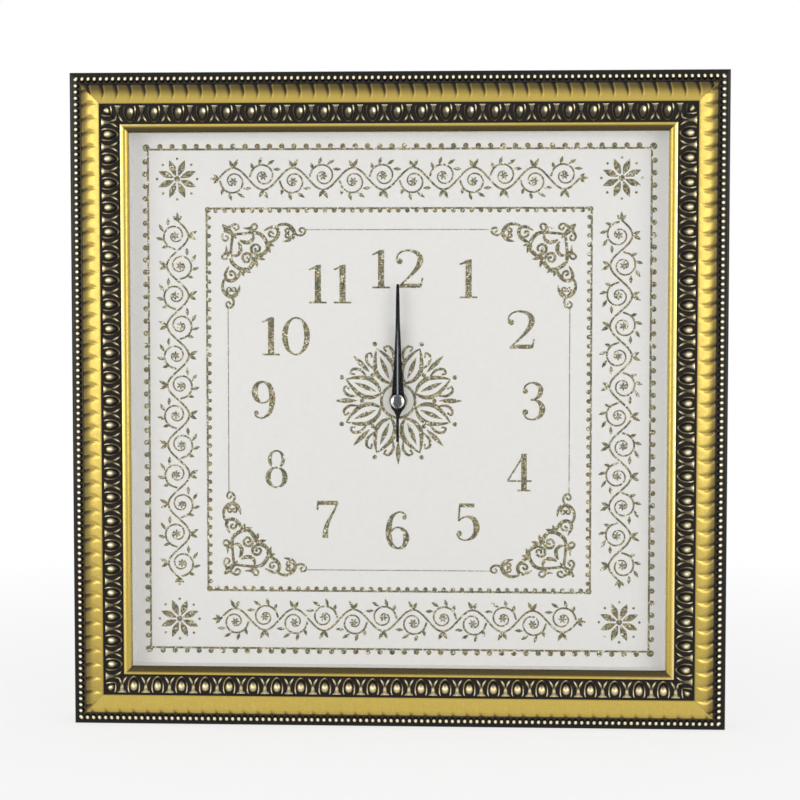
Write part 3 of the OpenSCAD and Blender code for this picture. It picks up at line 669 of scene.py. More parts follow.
def polished_cap(name):
    """Bright plated cap with a painted reflection: a dark oval along the hand, a bright ring round
    it.
    """
    finish = Finish(name)
    graph = finish.graph
    squeeze, reach = 0.66, 0.0055
    part = graph.split(graph.mapped(
        finish.place, (1.0, 1.0, squeeze), (0.0, 0.0, -AXIS_Z * squeeze)))
    squares = (graph.math("POWER", part[axis], 2.0) for axis in "XZ")
    share = graph.spread(graph.math("SQRT", graph.math("ADD", *squares)), 0.0, 1.0, 0.0, reach)
    grain = finish.grain(900.0, 0.06, 0.14)
    finish.set(
        Base_Color=graph.ramp(share, (
            (0.0, (0.085, 0.095, 0.105)), (0.56, (0.11, 0.12, 0.13)),
            (0.70, (0.80, 0.80, 0.79)), (1.0, (0.86, 0.86, 0.85)))),
        Metallic=1.0, Roughness=grain["Roughness"],
        Normal=graph.bump(grain["Value"], 0.05, 0.00001))
    return finish.material


def dress(finishes):
    """Materials onto the CAD nodes that stay as they are."""
    for material, names in finishes:
        for name in names:
            node = NODES[name]
            if not node.material_slots:
                raise RuntimeError(f"{name} has no material slot")
            for place in node.material_slots:
                place.material = material


# The carved moulding.


# How deep the foot of a boss or cord lies in its ground, in millimetres.
SINK = 0.15
# Section of a half round cord: shares of its radius and of its height.
HALF_ROUND = ((-1, 0), (-0.7, 0.7), (0, 1), (0.7, 0.7), (1, 0))


class Rail:
    """One side of the frame, built along its length s from the middle of the rail."""

    def __init__(self, quarter, side):
        self.quarter = quarter
        self.glaze, self.veil, self.fillet_tone = SIDE_SHADE[side]
        self.shape = Shape()

    def glazed(self, rubbed_and_lit, covered_and_shaded):
        """A value between that of the most lit rail and that of the most shaded one, for painted
        light and shade.
        """
        return lerp(rubbed_and_lit, covered_and_shaded, self.glaze)

    def point(self, s, u, d, tone):
        reach = HALF - u
        s = max(-reach, min(reach, s))
        x, z = turned(s, reach, self.quarter)
        return self.shape.point(x, z, d, tone)

    def sweep(self, section, slot=GILT):
        """Plain surface through (u, d, tone) points, mitred at both ends."""
        rows = [
            [self.point(-HALF, u, d, tone), self.point(HALF, u, d, tone)]
            for u, d, tone in section]
        self.shape.skin(rows[::-1], slot)

    def dome(self, s, u, ground, half_s, half_u, height, tones, rubbed_and_lit,
             taper=0.0, shaded=0.0, sides=10, spot=(0.0, 0.0)):
        """A rounded boss with a painted highlight at a spot; it tapers, and painted shade darkens
        it towards the dial.
        """
        rings = 5
        rows = []
        for ring in range(rings):
            lift = math.sin(ring / rings * math.pi / 2)
            spread = math.cos(ring / rings * math.pi / 2)
            row = []
            for side in range(sides):
                along, across = polar(1.0, side / sides * math.tau)
                at = u + half_u * spread * across
                # Painted shade towards the dial and a painted highlight near the spot.
                glaze = shaded * ease(-0.2, 0.7, spread * across)
                off = math.hypot(spread * along - spot[0], spread * across - spot[1])
                near = max(0.0, 1 - off * off) ** (rubbed_and_lit / 2)
                row.append(self.point(
                    s + half_s * spread * along * (1 - taper * across), at,
                    ground(at) - SINK + height * lift, min(1.0, lerp(*tones, near) + glaze)))
            rows.append(row)
        self.shape.skin(rows[::-1], WORN, closed=True)
        near = (1 - math.hypot(*spot) ** 2) ** (rubbed_and_lit / 2)
        top = self.point(s, u, ground(u) - SINK + height, lerp(*tones, near))
        for i in range(sides):
            self.shape.face((rows[-1][(i + 1) % sides], rows[-1][i], top), WORN)

    def ridge(self, knots, ground, steps=3):
        """A half round cord through (s, u, radius, height, tone of its crest) knots."""
        path = curve(knots, steps)
        rows = []
        for i, (s, u, radius, height, tone) in enumerate(path):
            along, across = heading(path, i)
            row = []
            for offset, lift in HALF_ROUND:
                at_s, at_u = s - across * radius * offset, u + along * radius * offset
                row.append(self.point(
                    at_s, at_u, ground(at_u) - SINK + height * lift, lerp(1.0, tone, lift)))
            rows.append(row)
        self.shape.skin(rows, WORN)
        self.shape.face(rows[0][::-1], WORN)
        self.shape.face(rows[-1], WORN)


def slope(chord, drop=0.0):
    """Height of the ground under a straight chord of the section, by the place across."""
    (u0, d0), (u1, d1), _ = chord
    return lambda u: lerp(d0, d1, (u - u0) / (u1 - u0)) - drop


# Numbers of the gold band, each on the most lit rail and on the most shaded one: painted shade on
# its outer part and in the grooves, a painted highlight along each lobe's edge.
BAND_TONE = (0.165, 0.25)
OUTER_SHADE, OUTER_SHADE_END = (0.08, 0.45), (0.30, 0.76)
GROOVE_CUT = (0.45, 1.0)
GROOVE_SHADE, GROOVE_FADE, GROOVE_END = (0.65, 0.42), (0.05, 0.45), (0.30, 0.90)
LOBE_HIGHLIGHT = (0.02, 0.24)


def gadroon_lean(t):
    """How far a groove leans along its rail, from the outer to the inner edge of the band."""
    return 1.8 * math.sin(math.pi * t ** 1.3)


def gadroon_relief(rail, gap, t, depth):
    """Cut of the gold band and its tone, with painted shade and highlight, at a distance from a
    groove and a place across.
    """
    width = lerp(2.0, 0.6, t)
    strength = rail.glazed(*GROOVE_CUT)
    groove = math.exp(-(gap / width) ** 2) * (1 - ease(0.30, 0.95, t))
    # Painted shade in and beside the groove, then a painted highlight along the lobe's edge.
    dark = math.exp(-(gap / ((0.9 if gap < 0 else 0.45) * width)) ** 2)
    dark *= 1 - ease(rail.glazed(*GROOVE_FADE), rail.glazed(*GROOVE_END), t)
    edge = math.exp(-((gap - 0.9 * width) / 0.45) ** 2) * (1 - ease(0.55, 0.95, t))
    # Painted shade by side and on the band's outer part.
    tone = rail.veil + rail.glazed(*BAND_TONE)
    tone += rail.glazed(*OUTER_SHADE) * (1 - ease(0.10, rail.glazed(*OUTER_SHADE_END), t))
    tone += strength * rail.glazed(*GROOVE_SHADE) * dark - rail.glazed(*LOBE_HIGHLIGHT) * edge
    tone += 0.5 * (1 - ease(0.0, 0.05, t)) + 0.5 * ease(0.97, 1.0, t)
    return strength * min(0.7 + 4.0 * t, depth) * groove, max(0.0, min(1.0, tone))


def carve_gold_band(rail, settings):
    pitch, depth = settings.lobe_pitch / MM, settings.groove_depth / MM
    stops = (0.0, 0.05, 0.10, 0.16, 0.23, 0.33, 0.5)
    across = (0.0, 0.03, 0.08, 0.15, 0.24, 0.34, 0.45, 0.56, 0.68, 0.80, 0.92, 0.98, 1.0)
    fine = 200
    profile = bowed(GOLD_BAND, fine)
    count = math.ceil(HALF / pitch) + 1
    columns = sorted(
        ((lobe + sign * stop) * pitch, sign * stop * pitch)
        for lobe in range(-count, count + 1) for stop in stops for sign in (-1, 1))
    rows = []
    for t in across:
        u, d = profile[round(t * fine)]
        row = []
        for s, gap in columns:
            cut, tone = gadroon_relief(rail, gap, t, depth)
            row.append(rail.point(s + gadroon_lean(t), u, d - cut, tone))
        rows.append(row)
    rail.shape.skin(rows[::-1])


def carve_beads(rail, settings):
    pitch, radius = settings.bead_pitch / MM, settings.bead_diameter / MM / 2
    ground = slope(BEAD_SEAT, 0.55)
    middle = (BEAD_SEAT[0][0] + BEAD_SEAT[1][0]) / 2 - 0.7
    count = int((HALF - middle) / pitch)
    for i in range(-count, count + 1):
        # Each bead's crest carries a painted highlight, smaller and whiter on the shaded rails.
        rail.dome(i * pitch, middle, ground, 0.94 * radius, 1.1 * radius, 2.5,
                  (1.0, rail.glazed(-0.12, -0.3)), rail.glazed(1.4, 3.2))


def carve_eggs(rail, settings):
    pitch = settings.egg_pitch / MM
    half_u, half_s = settings.egg_length / MM / 2, settings.egg_width / MM / 2
    ground = slope(EGG_GROUND)
    u0 = EGG_GROUND[0][0]
    middle = (u0 + EGG_GROUND[1][0]) / 2 - 0.4
    mix = rail.glazed
    count = int((HALF - u0) / pitch) + 1
    for i in range(-count, count + 1):
        s = i * pitch
        # Eggs, rings, darts and leaves carry painted highlights and painted shade: lit on one side,
        # shaded on the other and towards the dial, darker on the shaded rails.
        rail.dome(s, middle, ground, half_s, half_u, 2.1, (mix(0.95, 0.84), mix(0.03, -0.2)),
                  mix(1.0, 8.0), 0.16, mix(0.55, 0.0), 14, (mix(0.0, 0.35), mix(0.0, -0.45)))
        for sign in (-1, 1):
            # One side of each ring is painted lit and the other shaded.
            glazed, far = (0.8, 0.85) if sign < 0 else (0.05, 0.35)
            rail.ridge([
                (s + sign * 3.7, u0 + 0.5, 0.6, 0.9, mix(0.05, glazed)),
                (s + sign * 4.2, u0 + 3.0, 0.85, 1.6, mix(-0.10, glazed - 0.15)),
                (s + sign * 4.3, u0 + 6.4, 0.8, 1.6, mix(0.12, 0.72)),
                (s + sign * 3.5, u0 + 9.6, 0.8, 1.5, mix(far, 0.85)),
                (s + sign * 1.6, u0 + 11.9, 0.7, 1.3, mix(far - 0.1, 0.8)),
                (s, u0 + 12.6, 0.7, 1.2, mix(0.04, 0.6))], ground)
        dart = s + pitch / 2
        rail.ridge([
            (dart, u0 + 0.3, mix(4.0, 2.8), 0.5, mix(0.0, -0.10)),
            (dart, u0 + 1.4, mix(3.0, 2.2), 1.0, mix(0.14, 0.40)),
            (dart, u0 + 3.2, 1.9, 1.5, mix(0.32, 0.75)),
            (dart, u0 + 5.6, 1.5, 1.5, mix(0.45, 0.85)),
            (dart, u0 + 7.4, 1.2, 1.1, 0.9)], ground)
        for sign in (-1, 1):
            rail.ridge([
                (dart + sign * 0.5, u0 + 6.4, 0.6, 1.2, mix(0.55, 0.85)),
                (dart + sign * 1.2, u0 + 8.6, 1.0, 1.7, mix(0.30, 0.55)),
                (dart + sign * 2.4, u0 + 10.9, 0.9, 1.5, mix(-0.10, 0.0)),
                (dart + sign * 3.9, u0 + 12.5, 0.3, 0.7, mix(0.30, 0.55))], ground)


def lay_back(rail, seat):
    """The rail's bare back, with the shallow seat of the hanger plate if it has one."""
    if not seat:
        rail.sweep([(RABBET_U, BACK_D, 1.0), (0.0, BACK_D, 1.0)], WOOD)
        return
    half, start, floor = seat

    def row(u, d, ends=(-HALF, -half, half, HALF)):
        return [rail.point(s, u, d, 1.0) for s in ends]

    rail.shape.skin([row(0.0, BACK_D), row(start, BACK_D)], WOOD)
    for *ends, d in ((-HALF, -half, BACK_D), (-half, half, floor), (half, HALF, BACK_D)):
        rail.shape.skin([row(start, d, ends), row(RABBET_U, d, ends)], WOOD)
    edge = ((-half, RABBET_U), (-half, start), (half, start), (half, RABBET_U))
    rail.shape.skin(
        [[rail.point(s, u, d, 1.0) for s, u in edge] for d in (BACK_D, floor)], WOOD)


def hanger_seat():
    """Half width, start and floor of the seat in the top rail, in millimetres."""
    low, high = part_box("hanger_plate")
    return high.x / MM, (CAD_BOX[1].z - high.z) / MM, -low.y / MM + 0.05


def carve_rail(quarter, side, settings):
    rail = Rail(quarter, side)
    steps = 8
    rail.sweep([(0.0, BACK_D, 0.9), (0.0, EDGE_ROUND[0][1], 0.9),
                *((u, d, 0.95) for u, d in bowed(EDGE_ROUND, 5)),
                *((u, d, 1.0) for u, d in bowed(BEAD_SEAT, 4)), (*GOLD_BAND[0], 0.7)])
    carve_gold_band(rail, settings)
    rail.sweep([(*GOLD_BAND[1], 0.5), (GOLD_BAND[1][0], QUIRK_D, 1.0),
                (EGG_GROUND[0][0], QUIRK_D, 1.0), (*EGG_GROUND[0], 1.0), (*EGG_GROUND[1], 1.0),
                (EGG_GROUND[1][0], INNER_QUIRK_D, 1.0), (FILLET[0][0], INNER_QUIRK_D, 1.0),
                (*FILLET[0], 0.35)])
    # The fillet carries a painted highlight on its outer half and painted shade on its inner half,
    # set by side.
    rail.sweep([
        (u, d, lerp(0.12, rail.fillet_tone, ease(0.12, 0.42, i / steps)))
        for i, (u, d) in enumerate(bowed(FILLET, steps))])
    rail.sweep([(*FILLET[1], rail.fillet_tone), (FILLET[1][0], LIP_D, 0.9)])
    rail.sweep([(FILLET[1][0], LIP_D, 1.0), (RABBET_U, LIP_D, 1.0),
                (RABBET_U, BACK_D, 1.0)], WOOD)
    lay_back(rail, hanger_seat() if side == "top" else None)
    carve_beads(rail, settings)
    carve_eggs(rail, settings)
    return rail.shape


class CLOCK_OT_moulding(bpy.types.Operator):
    """Carve the four gilded rails with their lobes, beads, eggs and darts"""

    bl_idname = "clock.moulding"
    bl_label = "Moulding"

    def execute(self, context):
        settings = context.scene.clock_moulding
        materials = (
            gilding("antique_gilding", settings.gold, settings.bronze, settings),
            gilding("worn_gilding", settings.worn_gold, settings.worn_bronze, settings),
            bare_wood(context.scene.clock_finish))
        for quarter, side in enumerate(SIDES):
            carve_rail(quarter, side, settings).build(
                "moulding_" + side, materials, CASE, "gilt_moulding", ("frame_rail_" + side,),
                solid=False)
        return {"FINISHED"}


# The printed dial.

# How far the corner flourishes reach along the thin square, in millimetres.
FLOURISH_REACH = 59


class Print:
    """Flat printed strokes on the dial, each a hair higher or lower than its neighbours."""

    def __init__(self):
        self.shape = Shape()
        self.count = 0

    def level(self):
        """Height of the next stroke: strewn over a hair's depth, so that none lie level."""
        lift, depth, stride = 0.10, 0.08, 0.618
        self.count += 1
        return DIAL_D + lift + depth * (self.count * stride % 1)

    def stroke(self, knots, steps=6, round_ends=True, quarter=0):
        """A ribbon through (x, z, width) knots."""
        d = self.level()
        path = curve(knots, steps)
        rights, lefts = [], []
        for i, (x, z, width) in enumerate(path):
            tx, tz = heading(path, i)
            for side, row in ((1, rights), (-1, lefts)):
                px, pz = turned(x + tz * side * width / 2, z - tx * side * width / 2, quarter)
                row.append(self.shape.point(px, pz, d))
        for i in range(len(path) - 1):
            self.shape.face((rights[i], rights[i + 1], lefts[i + 1], lefts[i]))
        if round_ends:
            self.cap(path, -1, rights[-1], lefts[-1], d, quarter)
            self.cap(path, 0, lefts[0], rights[0], d, quarter)

    def cap(self, path, end, first, last, d, quarter):
        x, z, width = path[end]
        tx, tz = heading(path, len(path) - 1 if end else 0)
        if not end:
            tx, tz = -tx, -tz
        corners = [first]
        for step in range(1, 5):
            angle = step / 5 * math.pi
            across, ahead = math.cos(angle), math.sin(angle)
            px, pz = turned(
                x + width / 2 * (tz * across + tx * ahead),
                z + width / 2 * (-tx * across + tz * ahead), quarter)
            corners.append(self.shape.point(px, pz, d))
        self.shape.face((*corners, last))

    def dot(self, x, z, radius, sides=14):
        d = self.level()
        self.shape.face([self.shape.point(*at, d) for at in circle(radius, sides, x, z)])

    def leaf(self, x, z, angle, length, width, quarter=0):
        """A pointed leaf that grows from a point at an angle."""
        self.stroke(
            [(*polar(length * t, angle, x, z), width * w)
             for t, w in ((0.0, 0.22), (0.25, 0.75), (0.5, 1.0), (0.78, 0.6), (1.0, 0.06))],
            steps=4, quarter=quarter)

    def build(self, name, settings):
        material = bpy.data.materials.get("glitter_print") or glitter(settings)
        self.shape.build(name, (material,), CASE, "printed_sheet", solid=False)


class CLOCK_OT_border(bpy.types.Operator):
    """Print the two dotted border lines and the thin inner square"""

    bl_idname = "clock.border"
    bl_label = "Border"

    def execute(self, context):
        settings = context.scene.clock_print
        sheet = Print()
        outer, inner = settings.outer_border / MM, settings.inner_border / MM
        thin = settings.thin_square / MM
        for half, width, spaces, radius, shift in (
                (outer, 1.5, 41, 2.1, 2.2), (inner, 1.5, 42, 1.75, -1.7)):
            pitch = 2 * half / spaces
            for quarter in range(4):
                sheet.stroke(
                    [(-half - width / 2, half, width), (half + width / 2, half, width)],
                    steps=1, round_ends=False, quarter=quarter)
                for i in range(1, spaces):
                    sheet.dot(*turned(-half + i * pitch, half + shift, quarter), radius)
                sheet.dot(*turned(half + shift * 0.6, half + shift * 0.6, quarter), radius * 1.3)
        for quarter in range(4):
            reach = thin - FLOURISH_REACH
            sheet.stroke([(-reach, thin, 0.55), (reach, thin, 0.55)], steps=1,
                         round_ends=False, quarter=quarter)
        sheet.build("border_print", settings)
        return {"FINISHED"}


def vine_wave(sheet, middle, s, side, quarter):
    """Half a wave of the vine: a coiling branch with its flower and leaves."""

    def at(along, across):
        return along, middle + across

    coil = []
    for i in range(19):
        turn = i / 18
        angle = math.radians(180 + 500 * turn)
        radius = lerp(10.2, 2.4, turn ** 0.9)
        coil.append((*at(s + radius * math.cos(angle), side * (radius * math.sin(angle) - 2.0)),
                     lerp(1.5, 0.9, turn)))
    sheet.stroke(coil, steps=3, quarter=quarter)
    for petal in range(6):
        angle = petal / 6 * math.tau
        sheet.leaf(*at(*polar(0.4, angle, s, side * -2.0)), angle, 3.0, 1.5, quarter)
    for degrees, length in ((215, 5.0), (250, 6.0), (290, 6.5), (325, 6.0)):
        angle = math.radians(degrees)
        foot = at(s + 9.8 * math.cos(angle) * 0.97, side * (9.4 * math.sin(angle) - 2.0))
        lean = side * (angle + math.radians(38))
        sheet.leaf(*foot, lean, length, 2.5, quarter)
    for lean, length in ((62, 7.5), (118, 6.5)):
        sheet.leaf(*at(s, side * 8.4), side * math.radians(lean), length, 2.7, quarter)


class CLOCK_OT_vines(bpy.types.Operator):
    """Print the scrolling vine between the borders, with a flower in each corner"""

    bl_idname = "clock.vines"
    bl_label = "Vine bands"

    def execute(self, context):
        settings = context.scene.clock_print
        middle = (settings.outer_border + settings.inner_border) / 2 / MM
        sheet = Print()
        wave, height, waves = 46.0, 8.4, 6
        for quarter in range(4):
            stem = []
            for i in range(waves * 8 + 1):
                s = (i / 8 - waves / 2) * wave
                stem.append((s, middle + height * math.sin(math.tau * s / wave), 1.5))
            sheet.stroke(stem, steps=3, quarter=quarter)
            for end in (-1, 1):
                for lean, length in ((-0.75, 5.0), (0.0, 6.5), (0.75, 5.0)):
                    angle = lean if end > 0 else math.pi + lean
                    sheet.leaf(end * waves / 2 * wave, middle, angle, length, 2.4, quarter)
            for i in range(waves * 2):
                s = (i + 0.5) * wave / 2 - waves / 2 * wave
                side = 1 if math.sin(math.tau * s / wave) > 0 else -1
                vine_wave(sheet, middle, s, side, quarter)
            x, z = turned(middle, middle, quarter)
            for petal in range(8):
                angle = (petal + 0.5) / 8 * math.tau
                sheet.leaf(*polar(3.4, angle, x, z), angle, 12, 5.0)
                sheet.dot(*polar(15.5, angle + math.pi / 8, x, z), 1.0)
            sheet.dot(x, z, 2.3)
        sheet.build("vine_print", settings)
        return {"FINISHED"}


# Half of a corner flourish: strokes of (along the edge, in from the edge, width) knots.
FLOURISH = (
    ((3.0, 2.6, 2.4), (6.0, 1.6, 2.2), (9.2, -0.2, 1.8), (12.0, 0.9, 1.7), (12.2, 3.2, 1.6),
     (10.2, 4.2, 1.6), (8.8, 2.9, 1.8)),
    ((16.4, 2.7, 0.6), (19.0, 3.0, 1.6), (21.8, 2.6, 2.4), (23.0, 0.4, 1.8), (25.2, -0.4, 1.6),
     (26.6, 1.4, 1.6), (25.6, 3.6, 1.6), (23.6, 4.2, 1.8)),
    ((22.4, 3.4, 1.8), (21.4, 4.8, 1.8), (20.6, 6.2, 1.6)),
    ((7.6, 8.4, 2.6), (11.0, 7.4, 2.2), (16.5, 6.8, 2.0), (23.4, 6.2, 2.4), (28.2, 6.9, 2.8),
     (31.4, 9.4, 3.0), (33.8, 13.4, 3.0), (35.2, 17.4, 3.4), (36.6, 21.4, 0.9)),
    ((23.6, 7.6, 1.4), (23.6, 10.8, 2.4), (20.4, 13.6, 3.0), (16.2, 13.4, 2.8),
     (13.8, 12.2, 1.4)),
    ((34.0, 17.2, 2.6), (36.6, 15.6, 3.0), (39.4, 16.2, 0.8)),
    ((35.4, 18.0, 2.6), (32.6, 21.4, 3.0), (29.6, 23.4, 3.4), (26.4, 25.2, 3.2),
     (25.6, 26.0, 2.6)),
    ((27.6, 25.8, 1.8), (30.0, 26.2, 2.4), (32.6, 26.8, 0.6)),
    ((29.0, 23.6, 1.8), (25.4, 22.8, 2.2), (22.4, 20.4, 2.2), (22.6, 16.8, 2.2),
     (25.8, 15.4, 2.0), (28.6, 17.4, 1.9), (28.0, 20.2, 1.8), (25.6, 20.4, 1.8),
     (25.2, 18.6, 2.0)),
    ((32.2, 4.6, 0.8), (35.0, 3.2, 2.0), (38.6, 1.9, 2.4), (42.2, 3.2, 2.6), (43.0, 7.0, 2.8),
     (40.8, 10.8, 2.8), (37.6, 13.0, 2.4), (34.6, 14.6, 1.8)),
    ((41.6, 9.8, 1.4), (38.6, 9.8, 1.8), (36.2, 8.4, 1.8), (35.8, 6.2, 1.8), (37.6, 5.4, 1.8),
     (38.8, 6.8, 1.8)),
    ((40.8, 2.6, 1.4), (43.4, 0.6, 2.0), (46.6, -0.2, 2.2), (50.2, 0.2, 2.4), (53.6, 2.6, 2.6),
     (55.4, 6.4, 2.6), (54.0, 10.2, 2.6), (50.6, 12.2, 2.3), (46.8, 13.0, 0.8)),
    ((54.6, 6.5, 1.1), (52.6, 3.9, 1.4), (50.4, 3.1, 1.5), (48.5, 4.1, 1.5), (49.0, 5.9, 1.4),
     (50.9, 5.9, 1.3), (51.0, 4.8, 1.2)),
    ((54.6, 6.9, 1.1), (52.6, 9.3, 1.4), (50.4, 10.1, 1.5), (48.5, 9.1, 1.5), (49.0, 7.3, 1.4),
     (50.9, 7.3, 1.3), (51.0, 8.4, 1.2)),
    ((55.4, 6.6, 1.6), (58.2, 8.2, 1.8), (61.4, 8.0, 1.8), (63.6, 5.9, 1.7), (63.2, 3.5, 1.6),
     (60.6, 2.7, 1.5), (59.2, 4.4, 1.5), (60.8, 5.8, 1.5)),
)
CORNER_LEAF = ((0.6, 0.6, 2.0), (3.2, 3.2, 4.4), (6.6, 6.6, 3.4), (10.4, 10.4, 0.9))


class CLOCK_OT_corners(bpy.types.Operator):
    """Print the four scrolled corner flourishes"""

    bl_idname = "clock.corners"
    bl_label = "Corner flourishes"

    def execute(self, context):
        settings = context.scene.clock_print
        outside = settings.thin_square / MM + 4.0
        sheet = Print()
        for quarter in range(4):
            for knots in FLOURISH:
                for mirrored in (False, True):
                    sheet.stroke(
                        [(outside - (b if mirrored else a), outside - (a if mirrored else b), w)
                         for a, b, w in knots], steps=5, quarter=quarter)
            sheet.stroke([(outside - a, outside - b, w) for a, b, w in CORNER_LEAF],
                         quarter=quarter)
        sheet.build("corner_print", settings)
        return {"FINISHED"}


def loop(x, y, half_x, half_y, thick, thin):
    """Closed stroke of a numeral's bowl, heavy at its sides."""
    return [
        (x + half_x * across, y + half_y * up, lerp(thin, thick, across ** 2))
        for across, up in (polar(1.0, step / 16 * math.tau) for step in range(17))]


def numeral_six():
    return [
        [(0.54, 0.90, 0.03), (0.44, 0.975, 0.04), (0.30, 0.97, 0.05), (0.15, 0.83, 0.11),
         (0.085, 0.58, 0.15), (0.085, 0.36, 0.155), (0.15, 0.13, 0.12), (0.31, 0.02, 0.04)],
        [(0.31, 0.02, 0.035), (0.47, 0.08, 0.10), (0.545, 0.27, 0.155), (0.50, 0.46, 0.13),
         (0.37, 0.575, 0.05), (0.22, 0.55, 0.035), (0.11, 0.42, 0.03)]]


# Each numeral at unit height: its width, strokes of (x, y, width) and round ends (x, y, radius).
NUMERALS = {
    "0": (0.74, [loop(0.37, 0.5, 0.295, 0.485, 0.155, 0.04)], []),
    "1": (0.48, [[(0.25, 0.0, 0.32), (0.25, 0.03, 0.22), (0.25, 0.10, 0.165), (0.25, 0.5, 0.16),
                  (0.25, 0.96, 0.16)],
                 [(0.02, 0.015, 0.03), (0.48, 0.015, 0.03)],
                 [(0.02, 0.875, 0.02), (0.10, 0.905, 0.045), (0.22, 0.955, 0.075),
                  (0.33, 0.985, 0.03)]], []),
    "2": (0.73, [[(0.03, 0.74, 0.03), (0.06, 0.87, 0.035), (0.19, 0.965, 0.045),
                  (0.37, 0.98, 0.06), (0.55, 0.92, 0.10), (0.64, 0.79, 0.15),
                  (0.62, 0.64, 0.145), (0.51, 0.46, 0.10), (0.33, 0.27, 0.06),
                  (0.15, 0.10, 0.045), (0.07, 0.02, 0.035)],
                 [(0.07, 0.03, 0.05), (0.22, 0.06, 0.10), (0.42, 0.06, 0.115),
                  (0.59, 0.06, 0.11), (0.66, 0.07, 0.09)],
                 [(0.645, 0.03, 0.06), (0.675, 0.12, 0.045), (0.70, 0.26, 0.03)]],
          [(0.10, 0.70, 0.08)]),
    "3": (0.62, [[(0.06, 0.80, 0.03), (0.12, 0.92, 0.035), (0.27, 0.985, 0.04),
                  (0.43, 0.93, 0.10), (0.50, 0.80, 0.135), (0.47, 0.66, 0.11),
                  (0.36, 0.56, 0.05), (0.24, 0.535, 0.03)],
                 [(0.24, 0.535, 0.03), (0.38, 0.52, 0.05), (0.50, 0.43, 0.12),
                  (0.545, 0.28, 0.155), (0.48, 0.11, 0.115), (0.31, 0.02, 0.04),
                  (0.14, 0.05, 0.035), (0.05, 0.17, 0.03)]],
          [(0.10, 0.76, 0.07), (0.10, 0.21, 0.075)]),
    "4": (0.64, [[(0.44, 0.0, 0.145), (0.44, 0.985, 0.145)],
                 [(0.44, 0.965, 0.04), (0.02, 0.28, 0.04)],
                 [(0.0, 0.265, 0.04), (0.64, 0.265, 0.04)],
                 [(0.27, 0.015, 0.03), (0.61, 0.015, 0.03)]], []),
    "5": (0.62, [[(0.12, 0.935, 0.10), (0.50, 0.935, 0.10)],
                 [(0.12, 0.985, 0.035), (0.085, 0.52, 0.035)],
                 [(0.085, 0.52, 0.03), (0.18, 0.60, 0.04), (0.33, 0.635, 0.06),
                  (0.49, 0.56, 0.13), (0.56, 0.36, 0.16), (0.50, 0.14, 0.125),
                  (0.32, 0.02, 0.045), (0.14, 0.04, 0.035), (0.05, 0.15, 0.03)]],
          [(0.10, 0.19, 0.075)]),
    "6": (0.63, numeral_six(), [(0.50, 0.845, 0.06)]),
    "7": (0.60, [[(0.04, 0.93, 0.11), (0.58, 0.93, 0.11)],
                 [(0.045, 0.985, 0.03), (0.03, 0.74, 0.03)],
                 [(0.56, 0.95, 0.04), (0.47, 0.72, 0.06), (0.33, 0.46, 0.09),
                  (0.25, 0.22, 0.13), (0.235, 0.0, 0.155)]], []),
    "8": (0.60, [loop(0.30, 0.76, 0.18, 0.225, 0.10, 0.035),
                 loop(0.30, 0.28, 0.225, 0.262, 0.14, 0.035)], []),
    "9": (0.63, [[(0.63 - x, 1 - y, w) for x, y, w in stroke] for stroke in numeral_six()],
          [(0.13, 0.155, 0.06)]),
}
# Least width of a numeral's strokes, at unit height.
HAIRLINE = 0.046
# Space between the digits of each two digit hour, at unit height.
NUMERAL_GAPS = {10: 0.06, 11: 0.17, 12: 0.155}
# Middle of each hour's numeral from the hands' axis, in millimetres.
HOUR_PLACES = {
    1: (53.5, 93.5), 2: (94.0, 54.5), 3: (103.5, 0.0), 4: (93.0, -54.5), 5: (53.0, -93.0),
    6: (-0.5, -100.0), 7: (-54.5, -91.5), 8: (-94.0, -53.0), 9: (-104.0, 0.5),
    10: (-86.5, 49.5), 11: (-52.5, 89.5), 12: (-0.5, 101.0),
}


class CLOCK_OT_numerals(bpy.types.Operator):
    """Print the twelve hour numerals"""

    bl_idname = "clock.numerals"
    bl_label = "Numerals"

    def execute(self, context):
        settings = context.scene.clock_print
        height = settings.numeral_height / MM
        sheet = Print()
        for hour, (x, z) in HOUR_PLACES.items():
            digits = [NUMERALS[digit] for digit in str(hour)]
            gap = NUMERAL_GAPS.get(hour, 0.0)
            total = sum(width for width, _, _ in digits) + gap
            left = x - total * height / 2
            for width, strokes, balls in digits:
                foot = z - height / 2
                for stroke in strokes:
                    sheet.stroke([(left + px * height, foot + py * height,
                                   max(w, HAIRLINE) * height) for px, py, w in stroke],
                                 round_ends=False)
                for px, py, radius in balls:
                    sheet.dot(left + px * height, foot + py * height, radius * height)
                left += (width + gap) * height
        sheet.build("numeral_print", settings)
        return {"FINISHED"}


# Sides and curls of the rosette's petals: share of its radius, angle off the petal, width.
PETAL_SIDE = ((0.30, 0.0, 1.4), (0.42, 0.26, 3.0), (0.60, 0.25, 3.6), (0.78, 0.10, 2.4),
              (0.90, 0.0, 0.8))
PETAL_CURL = ((0.66, 0.27, 1.2), (0.78, 0.29, 2.2), (0.88, 0.22, 2.0), (0.88, 0.13, 1.4),
              (0.82, 0.15, 1.6))


class CLOCK_OT_rosette(bpy.types.Operator):
    """Print the rosette round the hands"""

    bl_idname = "clock.rosette"
    bl_label = "Centre rosette"

    def execute(self, context):
        settings = context.scene.clock_print
        reach = settings.rosette_radius / MM
        sheet = Print()
        sheet.stroke(
            [(*polar(0.27 * reach, step / 48 * math.tau), 2.2) for step in range(49)],
            steps=2, round_ends=False)
        for petal in range(8):
            angle = (petal + 0.5) / 8 * math.tau
            for side in (-1, 1):
                for knots in (PETAL_SIDE, PETAL_CURL):
                    sheet.stroke([
                        (*polar(share * reach, angle + side * lean), width)
                        for share, lean, width in knots])
            sheet.leaf(*polar(0.40 * reach, angle), angle, 0.36 * reach, 3.6)
            sheet.dot(*polar(0.98 * reach, angle), 1.8)
            between = angle + math.pi / 8
            sheet.leaf(*polar(0.66 * reach, between), between, 0.36 * reach, 3.8)
            sheet.dot(*polar(0.58 * reach, between), 1.7)
        sheet.build("rosette_print", settings)
        return {"FINISHED"}


# Hands.


